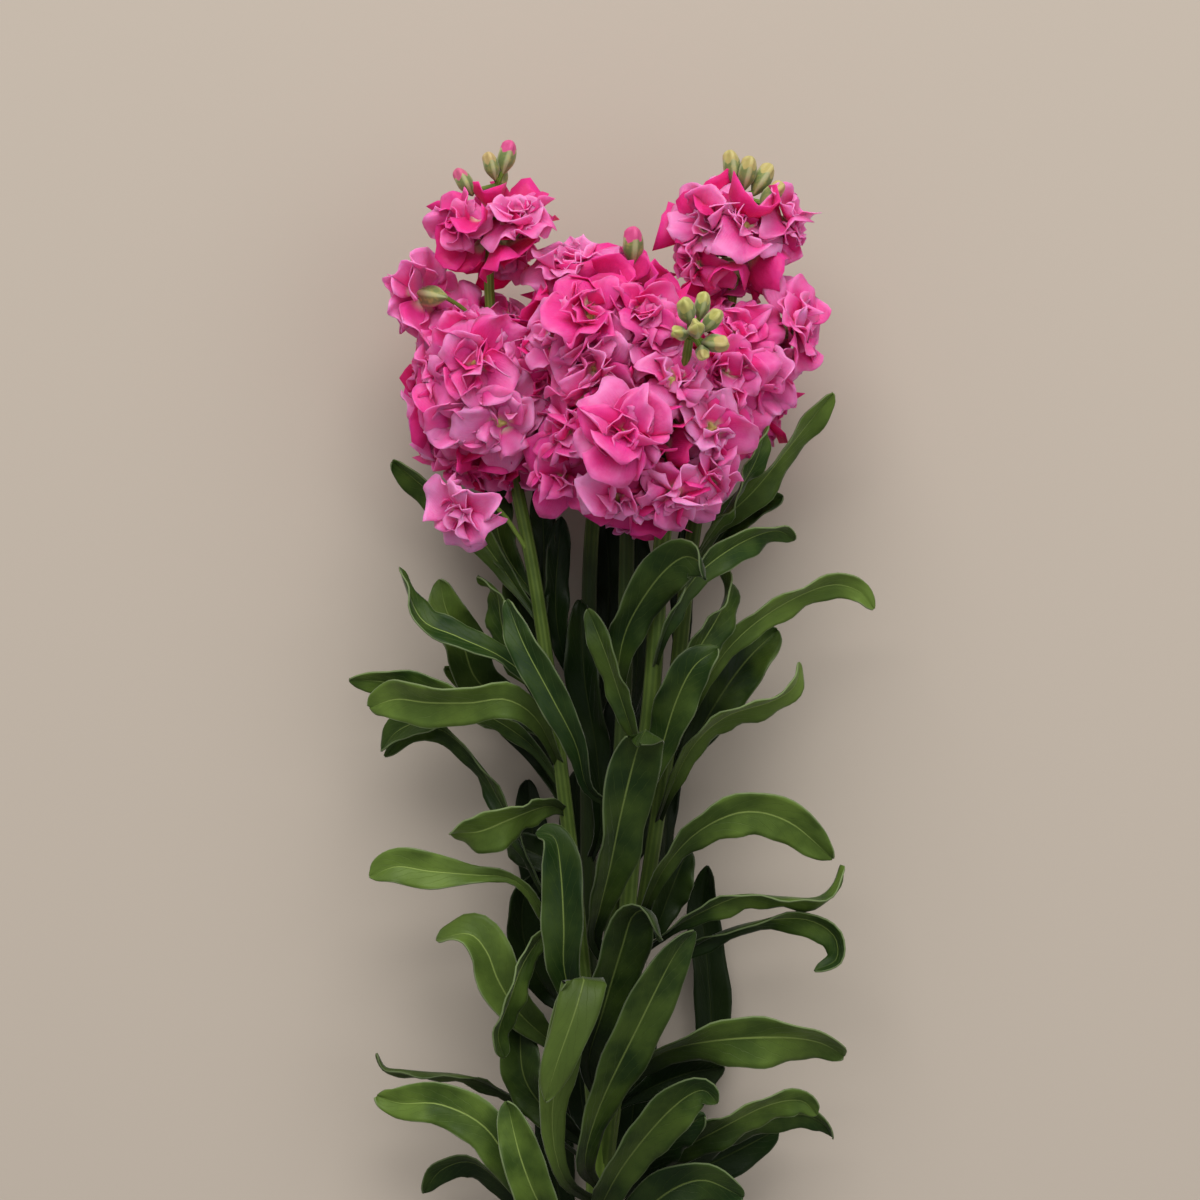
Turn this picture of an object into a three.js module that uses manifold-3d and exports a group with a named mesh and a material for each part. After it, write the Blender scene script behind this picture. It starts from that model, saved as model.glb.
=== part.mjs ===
// Cut flower stem of double-flowered stock, lying on a surface with its flower heads along +Y.
// One stem forks low down into five flowering branches, clothed in long blunt leaves.
// Millimetres, +Z up. The underside of the heads and the cut end of the stem touch z = 0.

import * as THREE from 'three';
import Module from 'manifold-3d';

const wasm = await Module();
wasm.setup();

// Driving dimensions

const seatGap = 0.3; // clearance between a leaf and the stem it springs from
const leafClearance = 0.6; // petals stay this far from a leaf
const petalClearance = 0.5; // and this far from another raceme's petals
const cutEndY = -150; // the cut that took the stem off the plant
const forkY = 17; // where the main stem divides
const stemRadius = 5;
const stemSides = 7;
const petalThickness = 0.7;
const clawDepth = 17; // how deep a floret's claw reaches back into the head
const coreDepth = 13; // how far the packed middle of a raceme lies under its florets
const coreShare = 0.5; // but it keeps at least this share of the raceme's size
const lowestFloret = 1.5; // a floret's middle is pressed up to this height by the surface
const calyxSeat = 2.6; // from a floret's middle back to the mouth of its calyx
const calyx = { length: 10, radius: 2.9, foot: 1.5, sides: 6 };
const pedicel = { radius: 1.1, bendAt: 0.6, bendUp: 2 };
const bud = { length: 10, radius: 2.4, sides: 4, along: [0, 0.3, 0.75, 1], girth: [0.5, 1, 0.8, 0.25] };

// Leaf blades: sizes in millimetres, places in shares of the blade's length

const blade = {
  thickness: 0.8,
  fold: 0.22, // rise of each half from the midrib, per half width
  wave: 1.1, // height of the waves along the margins
  waves: 2.4, // waves from root to tip
  outOfStep: 1.1, // lag between the two margins
  calmTo: [0.15, 0.4], // the waves begin over this stretch
  tipCalm: 0.4, // and are this much lower at the tip
  step: 16, // length between two cross sections
  fewest: 4, // segments of the shortest blade
  most: 7, // and of the longest
  crowding: 1.35, // cross sections stand closer towards the tip
  samples: 60, // points the midrib is measured at
  rootWidth: 0.22, // share of the full width
  widens: [0.04, 0.66], // the blade reaches its full width over this stretch
  tipStarts: 0.72, // where the blunt end begins to round off
  tipLeast: 0.02, // squared width left at the very end
};

// Leaves whose blades stay narrow for longer than that

const lateBlades = { leaf_left_12: [0.4, 0.9], leaf_right_04: [0.1, 0.7], leaf_right_08: [0.1, 0.7] };

// Floret, in shares of its diameter; the outline of an outer petal is [reach, sideways, wave]

const fullFloret = 33; // florets wider than this show five outer petals, smaller ones four
const outerPetals = {
  many: 5,
  few: 4,
  width: 1.2,
  tilt: 1.36, // radians from the floret's axis
  tiltRange: 0.3,
  turnRange: 0.15, // of the way to the next petal
  shortest: 0.93, // share of the floret's half width
  lengthRange: 0.14,
  ruffle: 0.13, // height of the ruffles, per petal length
  outline: [[0.82, -0.85, 0.9], [1.03, 0.05, -1], [0.82, 0.85, 0.8]],
};
const crown = {
  middleRise: 0.07,
  notchReach: 0.07,
  notchRise: 0.11,
  tipReach: 0.2,
  tipRise: 0.24,
  tipTurn: 0.3,
  tipShortest: 0.8,
  tipRange: 0.4,
};
const clawRadius = 0.13;

// Colours

const colours = {
  leaf: 0x35491f,
  stem: 0x4c6424,
  petal: 0xdf6fb0,
  palePetal: 0xec86bf,
  deepPetal: 0xcf539c,
};
const roughness = { leaf: 0.55, stem: 0.6, petal: 0.5 };

// Centre lines of the stems: [x, y, z, radius], from the cut end or the fork to the tip

const stemLines = {
  main: [[0, cutEndY, 4.2, stemRadius], [0.5, -90, 12, 4.9], [-0.5, -40, 18.5, 4.8], [0, forkY, 26, 4.6]],
  left: [
    [0, 5, 24.5, 3.2], [-5, 67, 32, 2.7], [-10, 117, 38, 2.6], [-17, 173, 43, 2.8], [-23, 213, 46, 2.8],
    [-32, 260, 48, 2.2], [-37, 305, 53, 1.7], [-34, 338, 58, 1.2],
  ],
  back: [
    [0, 2, 23, 3.2], [-3, 60, 24, 2.8], [-4, 110, 24, 2.7], [-4, 167, 25, 2.7], [-3, 220, 27, 2.5],
    [2, 262, 31, 2], [4, 292, 36, 1.5],
  ],
  centre: [
    [0, 8, 25.5, 3.2], [3, 60, 33, 2.8], [5, 110, 41, 2.7], [8, 167, 46, 2.7], [9, 220, 50, 2.5],
    [10, 267, 53, 2], [11, 311, 62, 1.3],
  ],
  front: [
    [1, 8, 26, 3.2], [7, 67, 37, 2.9], [11, 117, 48, 2.9], [17, 167, 58, 3], [20, 213, 66, 2.9],
    [25, 257, 77, 2.2], [29, 285, 96, 1.4],
  ],
  right: [
    [1, 5, 25, 3.2], [10, 67, 30, 2.7], [18, 117, 34, 2.6], [25, 167, 38.5, 2.7], [30, 213, 42.5, 2.6],
    [37, 258, 46, 2.2], [44, 300, 50, 1.7], [46, 334, 54, 1.2],
  ],
};

// Flower buds at the tips of the branches: branch, middle of the bud, direction it points in, size

const buds = [
  ['left', [-31, 347, 60], [0.25, 1, 0.2], 1],
  ['left', [-36, 344, 61], [-0.3, 1, 0.3], 0.85],
  ['left', [-33, 341, 55], [0, 1, -0.5], 0.8],
  ['left', [-45, 339, 58], [-0.6, 1, 0.1], 0.9],
  ['right', [44, 344, 57], [-0.15, 1, 0.2], 1],
  ['right', [49, 342, 58], [0.2, 1, 0.3], 1],
  ['right', [54, 340, 55], [0.6, 1, 0], 1.05],
  ['right', [57, 335, 57], [0.9, 0.8, 0.3], 0.95],
  ['right', [47, 340, 51], [0.1, 1, -0.6], 0.8],
  ['centre', [11, 317, 66], [0, 1, 0.35], 1.15],
  ['front', [28, 293, 103], [-0.25, 0.8, 0.9], 1],
  ['front', [31, 287, 106], [0, 0.3, 1], 0.95],
  ['front', [36, 290, 102], [0.6, 0.7, 0.7], 0.9],
  ['front', [37, 283, 101], [0.8, -0.1, 0.8], 1],
  ['front', [26, 286, 103], [-0.6, 0.1, 1], 0.8],
];

// Racemes, the flowered ends of the branches: centre and half sizes of each one's rounded mass,
// and the seed of the draw that turns and ruffles its petals

const racemes = {
  front: { centre: [14, 255, 64], half: [30, 30, 38], colour: colours.palePetal, seed: 495 },
  centre: { centre: [3, 286, 56], half: [27, 28, 38], colour: colours.petal, seed: 589 },
  left: { centre: [-37, 270, 39], half: [22, 29, 37], colour: colours.petal, seed: 403 },
  right: { centre: [43, 275, 39], half: [18, 24, 37], colour: colours.petal, seed: 497 },
  back: { centre: [3, 262, 30], half: [31, 28, 28], colour: colours.deepPetal, seed: 395 },
  left_top: { centre: [-36, 323, 57], half: [12, 11, 13], colour: colours.petal, seed: 780 },
  right_top: { centre: [43, 319, 54], half: [13, 13, 14], colour: colours.petal, seed: 877 },
};

// Florets by raceme: [x, y, diameter, level, facing if not straight out]
// Level 1 is the front of the rounded mass and -1 its back at that x and y. A level between them puts
// the floret on the rim, that share of the way up from the middle, in the direction of that x and y.

const florets = {
  left: [
    [-47, 291, 29, 1, [-0.1, 0.6, 0.8]], [-28, 298, 27, 1], [-41, 279, 34, 1, [-0.1, 0.15, 1]],
    [-55, 275, 26, 1], [-48, 260, 29, 1, [-0.3, -0.2, 0.9]], [-33, 258, 30, 1, [0, -0.4, 1]],
    [-22, 268, 28, 1, [0.2, 0, 1]], [-27, 246, 27, 1, [0.1, -0.6, 0.8]], [-62, 280, 24, 0.1],
    [-62, 260, 25, 0], [-45, 244, 24, 0.1], [-18, 284, 27, 0.7, [0.3, 0.1, 1]],
    [-51, 284, 28, -1], [-37, 268, 33, -1, [0, 0, -1]], [-41, 251, 27, -0.7],
  ],
  centre: [
    [-10, 311, 30, 1, [-0.3, 0.8, 0.5]], [-3, 293, 34, 1, [0, 0.3, 1]], [-16, 284, 28, 1],
    [14, 292, 27, 1, [0.1, 0.3, 0.9]], [26, 289, 26, 0.8], [-2, 275, 28, 1],
    [18, 298, 26, -0.9],
  ],
  front: [
    [8, 281, 31, 1, [0, 0.3, 1]], [-6, 269, 29, 1], [8, 254, 37, 1, [0, 0, 1]], [-12, 254, 27, 1],
    [-14, 239, 27, 1, [-0.5, -0.4, 0.75]], [6, 230, 28, 0.6, [0, -0.8, 0.6]],
    [24, 232, 28, 0.6, [0.2, -0.8, 0.6]], [24, 272, 27, 1], [37, 256, 27, 1, [0.5, -0.1, 0.9]],
    [36, 240, 25, 0.4, [0.4, -0.6, 0.6]], [12, 228, 27, -0.4, [0, -1, -0.3]],
  ],
  right: [
    [42, 276, 29, 1], [43, 262, 27, 1, [0.2, -0.3, 1]], [55, 274, 26, 1, [0.4, 0.25, 0.9]],
    [46, 290, 26, 1, [0.1, 0.4, 0.9]], [34, 299, 27, 1, [-0.35, 0.85, 0.4]],
    [60, 282, 24, 0.05], [54, 264, 23, 0.1], [44, 252, 24, 0.2], [52, 285, 27, -1],
    [43, 272, 32, -1, [0, 0, -1]], [48, 259, 25, -0.7],
  ],
  back: [
    [-8, 280, 30, -1], [16, 280, 30, -1], [-14, 261, 30, -1], [5, 262, 32, -1, [0, 0, -1]],
    [24, 261, 29, -1], [5, 242, 30, -1],
  ],
  left_top: [
    [-28, 328, 27, 1, [0.1, 0.7, 0.7]], [-46, 325, 22, 0.4, [-0.5, 0, 0.7]],
    [-29, 318, 20, -0.4, [0.5, -0.3, -0.5]], [-38, 325, 23, -1],
  ],
  right_top: [
    [36, 325, 28, 1, [-0.3, 0.3, 0.9]], [50, 327, 25, 0.8, [0.35, 0.6, 0.7]],
    [31, 311, 23, 1, [-0.7, -0.4, 0.5]], [46, 312, 21, -0.5, [0.4, -0.3, -0.5]],
  ],
};

// Outlying blooms: middle, diameter, facing, the branch each pedicel springs from and where,
// and the seed of its draw

const outlyingBlooms = {
  bloom_left_side: {
    at: [-58, 301, 50], wide: 34, facing: [-0.7, 0.1, -0.7], stem: 'left', fromY: 284, seed: 31,
  },
  bloom_left_low: {
    at: [-48, 228, 66], wide: 29, facing: [-0.5, -0.35, 0.75], stem: 'left', fromY: 214, seed: 32,
  },
  bloom_right_side: {
    at: [67, 291, 60], wide: 32, facing: [0.75, 0.1, 0.6], stem: 'right', fromY: 283, seed: 33,
  },
  bloom_right_top: {
    at: [63, 325, 56], wide: 24, facing: [0.8, 0.1, 0.4], stem: 'right', fromY: 316, seed: 34,
  },
};

// Vectors, curves and a seeded draw

const vector = (values) => new THREE.Vector3(values[0], values[1], values[2]);
const blend = (a, b, t) => a + (b - a) * t;
const smooth = (from, to, value) => THREE.MathUtils.smoothstep(value, from, to);

function seededDraw(seed) {
  let state = seed;
  return () => {
    state = (state * 1664525 + 1013904223) % 4294967296;
    return state / 4294967296;
  };
}

function curveThrough(points) {
  return new THREE.CatmullRomCurve3(points.map(vector), false, 'catmullrom', 0.5);
}

// The point of a stem's centre line where it first reaches y

function stemAt(name, y) {
  const points = curveThrough(stemLines[name]).getPoints(200);
  return points.find((point) => point.y >= y) ?? points[points.length - 1];
}

// A stem's radius at a share of the way along its line

function stemRadiusAt(line, share) {
  const span = share * (line.length - 1);
  const first = Math.min(Math.floor(span), line.length - 2);
  return blend(line[first][3], line[first + 1][3], span - first);
}

// Directions along a row of points: tangent, side and normal, turned as little as possible
// from each point to the next

function framesAlong(points) {
  const frames = [];
  let side = null;
  points.forEach((point, index) => {
    const before = points[Math.max(index - 1, 0)];
    const after = points[Math.min(index + 1, points.length - 1)];
    const tangent = after.clone().sub(before).normalize();
    if (side === null) side = tangent.clone().cross(new THREE.Vector3(0, 0, 1));
    side = side.clone().addScaledVector(tangent, -side.dot(tangent)).normalize();
    frames.push({ point, tangent, side, normal: side.clone().cross(tangent) });
  });
  return frames;
}

// A closed solid from points and triangles

function solidOf(points, triangles) {
  const vertProperties = new Float32Array(points.flatMap((point) => [point.x, point.y, point.z]));
  const triVerts = new Uint32Array(triangles.flat());
  return new wasm.Manifold(new wasm.Mesh({ numProp: 3, vertProperties, triVerts }));
}

const joined = (solids) => wasm.Manifold.union(solids);

function largestOf(solid) {
  const bodies = solid.decompose();
  return bodies.reduce((best, body) => (body.volume() > best.volume() ? body : best));
}

// A thin plate on a triangulated sheet, split alike on both faces

function plate(points, triangles, thickness) {
  const normals = points.map(() => new THREE.Vector3());
  const open = new Map();
  triangles.forEach(([a, b, c]) => {
    const across = points[b].clone().sub(points[a]);
    const face = across.cross(points[c].clone().sub(points[a])).normalize();
    [a, b, c].forEach((corner) => normals[corner].add(face));
    [[a, b], [b, c], [c, a]].forEach(([from, to]) => {
      if (!open.delete(`${to} ${from}`)) open.set(`${from} ${to}`, [from, to]);
    });
  });
  const count = points.length;
  const shift = (sign) => (point, index) =>
    point.clone().addScaledVector(normals[index].clone().normalize(), (sign * thickness) / 2);
  const corners = [...points.map(shift(1)), ...points.map(shift(-1))];
  const faces = [];
  triangles.forEach(([a, b, c]) => faces.push([a, b, c], [a + count, c + count, b + count]));
  open.forEach(([a, b]) => faces.push([a + count, b + count, b], [a + count, b, a]));
  return solidOf(corners, faces);
}

// A round solid along a row of points, closed at both ends

function roundSolid(points, radii, sides) {
  const frames = framesAlong(points);
  const corners = [];
  frames.forEach(({ point, side, normal }, ring) => {
    for (let step = 0; step < sides; step += 1) {
      const angle = (step / sides) * Math.PI * 2;
      const rim = point.clone().addScaledVector(side, Math.cos(angle) * radii[ring]);
      corners.push(rim.addScaledVector(normal, Math.sin(angle) * radii[ring]));
    }
  });
  const faces = [];
  const last = (frames.length - 1) * sides;
  for (let step = 0; step < sides; step += 1) {
    const next = (step + 1) % sides;
    for (let ring = 0; ring < last; ring += sides) {
      const above = ring + sides;
      faces.push([ring + step, above + step, above + next], [ring + step, above + next, ring + next]);
    }
    if (step > 1) faces.push([0, step - 1, step], [last, last + step, last + step - 1]);
  }
  return solidOf(corners, faces);
}

function ball(centre, half, detail) {
  const shape = new THREE.IcosahedronGeometry(1, detail);
  const corners = [];
  const faces = [];
  const found = new Map();
  const place = shape.getAttribute('position');
  for (let index = 0; index < place.count; index += 1) {
    const corner = new THREE.Vector3().fromBufferAttribute(place, index);
    const key = corner.toArray().map((value) => value.toFixed(4)).join(' ');
    if (!found.has(key)) {
      found.set(key, corners.length);
      corners.push(corner.multiply(vector(half)).add(vector(centre)));
    }
    if (index % 3 === 0) faces.push([]);
    faces[faces.length - 1].push(found.get(key));
  }
  return solidOf(corners, faces);
}

// Stems

function stemSolid(name, grow) {
  const line = stemLines[name];
  const steps = line.length + 1;
  const points = curveThrough(line).getPoints(steps);
  const radii = points.map((point, index) => stemRadiusAt(line, index / steps) + grow);
  return roundSolid(points, radii, stemSides);
}

// Leaves: a blunt blade, narrow at the root, folded along its midrib and waved at its margins

function bladeShare(along, widens) {
  const body = blend(blade.rootWidth, 1, smooth(...widens, along));
  const past = Math.max(along - blade.tipStarts, 0) / (1 - blade.tipStarts);
  return body * Math.sqrt(Math.max(1 - past * past, blade.tipLeast));
}

function leafSolid(leaf, grow) {
  const root = stemAt(leaf.stem, leaf.from).toArray();
  const path = curveThrough([root, ...leaf.path]);
  const frames = framesAlong(path.getSpacedPoints(blade.samples));
  const wanted = Math.round(path.getLength() / blade.step);
  const segments = Math.max(blade.fewest, Math.min(blade.most, wanted));
  const points = [];
  const faces = [];
  for (let ring = 0; ring <= segments; ring += 1) {
    const along = 1 - (1 - ring / segments) ** blade.crowding;
    const { point: rib, tangent, side, normal } = frames[Math.round(along * blade.samples)];
    const point = rib.clone().addScaledVector(tangent, ring === segments ? grow : 0);
    const roll = THREE.MathUtils.degToRad(blend(leaf.roll[0], leaf.roll[1], along));
    const across = side.clone().multiplyScalar(Math.cos(roll)).addScaledVector(normal, Math.sin(roll));
    const up = normal.clone().multiplyScalar(Math.cos(roll)).addScaledVector(side, -Math.sin(roll));
    const half = (leaf.width / 2) * bladeShare(along, lateBlades[leaf.name] ?? blade.widens);
    const height = blade.wave * smooth(...blade.calmTo, along) * (1 - along * blade.tipCalm);
    [-1, 0, 1].forEach((edge) => {
      const wave = Math.sin(Math.PI * 2 * blade.waves * along + leaf.phase + edge * blade.outOfStep);
      const lift = edge === 0 ? 0 : half * blade.fold + height * wave;
      points.push(point.clone().addScaledVector(across, edge * (half + grow)).addScaledVector(up, lift));
    });
    if (ring > 0) {
      const row = ring * 3;
      [0, 1].forEach((step) => {
        const corner = row - 3 + step;
        faces.push([corner, corner + 1, corner + 4], [corner, corner + 4, corner + 3]);
      });
    }
  }
  return plate(points, faces, blade.thickness + grow * 2);
}

const leaves = [];

// A leaf from a stem at the height y: its width, its turn at root and tip in degrees,
// and its midrib's points

function leaf(name, stem, from, width, rollRoot, rollTip, ...path) {
  leaves.push({ name, stem, from, width, roll: [rollRoot, rollTip], path, phase: leaves.length * 1.7 });
}

leaf('leaf_left_01', 'left', 190, 12, 10, 30, [-43, 224, 34], [-57, 236, 32], [-70, 247, 36]);
leaf('leaf_left_02', 'left', 152, 10, -20, -75, [-23, 172, 50], [-33, 181, 53], [-48, 188, 54],
  [-60, 194, 52], [-67, 211, 48]);
leaf('leaf_left_03', 'left', 138, 15, 0, 10, [-29, 163, 24], [-42, 173, 26.5], [-47, 187, 31.5],
  [-52, 197, 36], [-54, 207, 36]);
leaf('leaf_left_04', 'left', 165, 10, 30, 60, [-29, 178, 43], [-33, 192, 44], [-35, 203, 46],
  [-41, 208, 47]);
leaf('leaf_left_05', 'back', 140, 13, 0, 0, [-14, 158, 28], [-22, 178, 30], [-27, 197, 32], [-30, 212, 33]);
leaf('leaf_left_06', 'centre', 128, 11, 20, 40, [-4, 137, 54], [-8, 152, 62], [-16, 168, 67], [-25, 185, 67],
  [-31, 200, 63]);
leaf('leaf_left_07', 'left', 143, 16, 20, -25, [-21, 160, 54.5], [-31, 167, 61.5], [-43, 166, 63.5],
  [-57, 166, 62], [-68, 167, 56], [-77, 164, 49]);
leaf('leaf_left_08', 'left', 136, 12, 20, 30, [-24, 152, 42], [-43, 164, 46], [-60, 170, 47],
  [-72, 172.5, 47], [-84, 173.5, 47]);
leaf('leaf_left_09', 'left', 151, 11, -30, -40, [-25, 157, 36], [-42, 160, 32.5], [-57, 160, 34],
  [-68, 156, 34], [-74, 149, 34]);
leaf('leaf_left_10', 'left', 88, 8, 60, 30, [-18, 100, 36], [-24, 112, 36], [-32, 128, 33], [-42, 145, 29],
  [-54, 156, 27], [-64, 155, 27], [-73, 147, 29]);
leaf('leaf_left_11', 'left', 126, 16, 0, 20, [-18, 131, 50], [-30, 127, 56], [-40, 123, 56],
  [-50, 122, 52]);
leaf('leaf_left_12', 'left', 81, 15, 20, -30, [-17, 91, 41.5], [-24, 102, 45.5], [-31, 107, 47.5],
  [-42, 108, 49.5], [-57, 109.5, 52], [-68, 111, 52], [-77, 107.5, 50]);
leaf('leaf_left_13', 'left', 42, 15, 0, -20, [-15, 50, 37], [-27, 61, 43], [-34, 72, 45], [-38, 82, 46],
  [-44, 88, 46], [-55, 86, 43]);
leaf('leaf_left_14', 'left', 55, 12, 20, -20, [-15, 63, 13.5], [-21, 71, 16], [-26, 84, 18.5],
  [-26, 98, 22.5], [-20, 107, 27]);
leaf('leaf_left_15', 'left', 95, 10, 40, 20, [-14, 92, 45.5], [-20, 87, 51.5], [-26, 78, 55.5],
  [-30, 67, 56.5], [-34, 55, 52], [-32, 47, 48]);
leaf('leaf_left_16', 'main', -20, 15, 10, 20, [-14, -11, 37.5], [-26, 4, 44.5], [-38, 23, 48.5],
  [-53, 31, 48], [-67, 31, 43], [-75, 33, 39]);
leaf('leaf_left_17', 'main', 4, 8, 70, 70, [-15, 17, 20], [-28, 29, 20], [-39, 35, 20], [-48, 38, 22],
  [-59, 39, 24], [-67, 40, 26], [-73, 41, 27], [-76, 46, 28]);
leaf('leaf_left_18', 'main', -30, 11, 30, 40, [-14, -18, 22], [-24, -9, 23], [-34, 2, 25], [-44, 9, 26],
  [-54, 6, 24], [-60, -2, 21]);
leaf('leaf_left_19', 'main', -26, 14, 0, 20, [-10, -15, 38], [-19, -4, 50], [-26, 13, 57], [-31, 33, 56]);

leaf('leaf_front_01', 'centre', 163, 16, 0, 10, [6, 176, 61.5], [9, 191, 68.5], [18, 206, 76.5],
  [27, 214, 82], [33, 212, 86], [34, 207, 90]);
leaf('leaf_front_02', 'front', 144, 9, 20, 30, [11, 155, 64], [7, 167, 69], [2, 182, 72], [-4, 197, 71]);
leaf('leaf_front_03', 'front', 127, 14, 0, 10, [19, 146, 58], [25, 166, 65], [31, 178, 69], [39, 184, 69]);
leaf('leaf_front_04', 'centre', 74, 18, 0, 0, [-2, 86, 45], [0, 97, 55], [3, 110, 63], [7, 130, 70],
  [12, 150, 75], [15, 157, 79], [13, 153, 85]);
leaf('leaf_front_05', 'left', 55, 14, 10, 20, [-9, 66, 51.5], [-12, 78, 59], [-12, 92, 63.5],
  [-13, 110, 64], [-15, 121, 63.5], [-21, 123, 61]);
leaf('leaf_front_06', 'centre', 28, 17, 0, 10, [-4, 43, 41], [1, 63, 54], [7, 84, 63], [11, 96, 69],
  [17, 97, 75], [20, 88, 77]);
leaf('leaf_front_07', 'main', 0, 17, 0, 0, [-5, 12, 50.5], [0, 32, 60], [12, 58, 68], [24, 82, 71.5],
  [31, 91, 71]);
leaf('leaf_front_08', 'main', -6, 15, 0, 0, [-12, 6, 47], [-16, 27, 56.5], [-12, 55, 67.5], [-7, 72, 71],
  [-5, 76, 75], [-8, 65, 79.5], [-14, 48, 78.5], [-18, 35, 73]);
leaf('leaf_front_09', 'main', -15, 16, 0, 10, [0, -5, 42], [8, 12, 57], [22, 30, 65], [33, 38, 68],
  [39, 34, 69]);
leaf('leaf_front_10', 'main', -38, 17, 0, -10, [6, -22, 36], [17, -3, 47], [33, 6, 50], [48, 0, 48]);

leaf('leaf_right_01', 'right', 194, 12, -40, -50, [32, 209, 41], [38, 223, 40], [52, 237, 41], [65, 253, 44],
  [78, 269.5, 46]);
leaf('leaf_right_02', 'right', 211, 8, -60, -70, [37, 222, 54], [46, 236, 62], [52, 247, 65], [55, 258, 65]);
leaf('leaf_right_03', 'front', 175, 10, -30, -50, [22, 191, 76], [31, 207, 73.5], [45, 218, 66],
  [58, 223, 58.5], [65, 220, 52]);
leaf('leaf_right_04', 'right', 148, 11, -40, -30, [30, 161, 44], [38, 177, 49], [48, 189, 51],
  [62, 199, 51], [77, 205, 48], [87, 203, 44], [92, 197, 42]);
leaf('leaf_right_05', 'right', 134, 17, -10, 0, [29, 147, 35], [39, 165, 36], [49, 179, 35], [60, 190, 33]);
leaf('leaf_right_06', 'front', 152, 13, -10, -70, [22, 166, 58], [31, 181, 60], [40, 196, 59],
  [42, 204, 58], [39, 211, 56]);
leaf('leaf_right_07', 'right', 121, 12, -30, -50, [24, 137, 46], [31, 151, 51], [42, 161, 53],
  [57, 166, 52], [65, 171, 50], [67, 179, 48]);
leaf('leaf_right_08', 'right', 88, 16, -10, -20, [16, 98, 43], [22, 111, 51], [33, 123, 55], [48, 129.5, 56],
  [63, 126, 53], [78, 113.5, 48]);
leaf('leaf_right_09', 'right', 78, 11, -40, -60, [22, 88, 45], [33, 95, 49], [47, 101, 51], [60, 100.5, 51],
  [72, 100, 49], [78, 104, 47], [81, 111, 46]);
leaf('leaf_right_10', 'right', 61, 10, -60, -30, [22, 75, 36], [33, 84, 39], [48, 90.5, 41], [67, 93, 43],
  [78, 88, 43], [79.5, 79.5, 43], [72, 75.5, 44]);
leaf('leaf_right_11', 'right', 28, 19, -10, -20, [12, 41, 38], [23, 49, 46], [40, 53, 51], [60, 54, 52],
  [73, 52, 49], [82, 47, 45]);
leaf('leaf_right_12', 'main', -4, 13, -20, -30, [10, 3, 29.5], [23, 12, 34.5], [38, 21, 42.5],
  [55, 30, 45.5], [67, 32, 44], [73, 27, 42]);
leaf('leaf_right_13', 'main', -12, 10, -30, -50, [15, 0, 29.5], [30, 10, 30.5], [50, 22, 34],
  [67, 26, 33.5], [75, 23, 32.5], [79, 18, 30]);
leaf('leaf_right_14', 'main', -18, 15, 0, 0, [12, -8, 3.5], [28, 1, 6], [45, 10, 10.5], [61, 19, 16]);
leaf('leaf_right_15', 'main', 0, 13, 0, 0, [18, 12, 13.5], [32, 28, 9.5], [38, 48, 8.5], [37, 73, 9],
  [35, 95, 12], [37, 109, 17]);
leaf('leaf_right_16', 'right', 200, 10, -10, 0, [35, 213, 31], [45, 226, 30], [53, 232, 30], [62, 235, 31]);

leaf('leaf_low_01', 'main', -58, 15, 10, 20, [-14, -46, 25], [-30, -33, 25], [-45, -25, 19],
  [-58, -23, 10]);
leaf('leaf_low_02', 'main', -74, 15, -10, -20, [14, -62, 22], [30, -50, 23], [46, -42, 17], [58, -40, 8]);
leaf('leaf_low_03', 'main', -84, 14, 0, 0, [1, -74, 26], [4, -58, 33], [6, -42, 34], [4, -30, 33]);

// Small leaves among the stems, grown together with them

const firstInner = leaves.length;
leaf('inner_01', 'left', 128, 10, 0, 0, [-22, 147, 24.5], [-34, 162, 20.5], [-44, 171, 20], [-53, 177, 21]);
leaf('inner_02', 'left', 104, 12, 20, 0, [-18, 112, 29], [-31, 118, 24]);
leaf('inner_03', 'back', 108, 12, 0, 0, [0, 123, 32], [-1, 147, 34], [-5, 172, 36],
  [-7, 200, 36]);
leaf('inner_04', 'back', 165, 9, 0, 0, [-12, 180, 33], [-15, 200, 37], [-13, 228, 39]);
leaf('inner_05', 'back', 150, 15, 0, 0, [0, 168, 15], [3, 200, 12], [2, 228, 12]);
leaf('inner_06', 'left', 12, 14, 0, 20, [-12, 22, 36], [-20, 30, 38], [-26, 41, 39], [-27, 59, 38]);
leaf('inner_07', 'main', -9, 13, -30, -20, [10, 3, 36], [17, 12, 43], [25, 21, 49], [35, 28, 52]);
leaf('inner_08', 'main', -42, 14, 0, 0, [-9, -25, 9], [-15, 0, 4], [-15, 25, 3], [-12, 45, 4]);
leaf('inner_09', 'main', -12, 14, 0, 0, [8, 6, 4.5], [12, 30, 3], [12, 55, 3], [10, 75, 4]);
leaf('inner_10', 'back', 62, 13, 0, 0, [-11, 76, 12], [-19, 95, 5], [-23, 118, 4], [-25, 138, 5]);
leaf('inner_11', 'right', 95, 9, 0, 0, [22, 112, 18], [23, 130, 9], [24, 150, 6], [25, 172, 6]);
leaf('inner_12', 'back', 120, 14, 0, 0, [4, 142, 10], [9, 168, 5], [12, 192, 4]);
leaf('inner_13', 'centre', 150, 12, 0, 0, [12, 172, 34], [13, 198, 32], [12, 226, 32]);
leaf('inner_14', 'right', 158, 8, 0, 0, [27, 178, 27], [28, 200, 22], [29, 226, 20]);
leaf('inner_15', 'back', 85, 13, 0, 0, [4, 100, 9], [8, 122, 5], [10, 145, 5]);
leaf('inner_16', 'centre', 96, 12, 0, 0, [9, 110, 28], [16, 130, 24], [20, 152, 24]);
leaf('inner_17', 'left', 198, 12, 0, 0, [-31, 214, 36], [-35, 226, 34], [-35, 240, 33]);
leaf('inner_18', 'back', 66, 11, 0, 0, [-7, 82, 17], [-9, 104, 14], [-8, 142, 13]);
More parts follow.
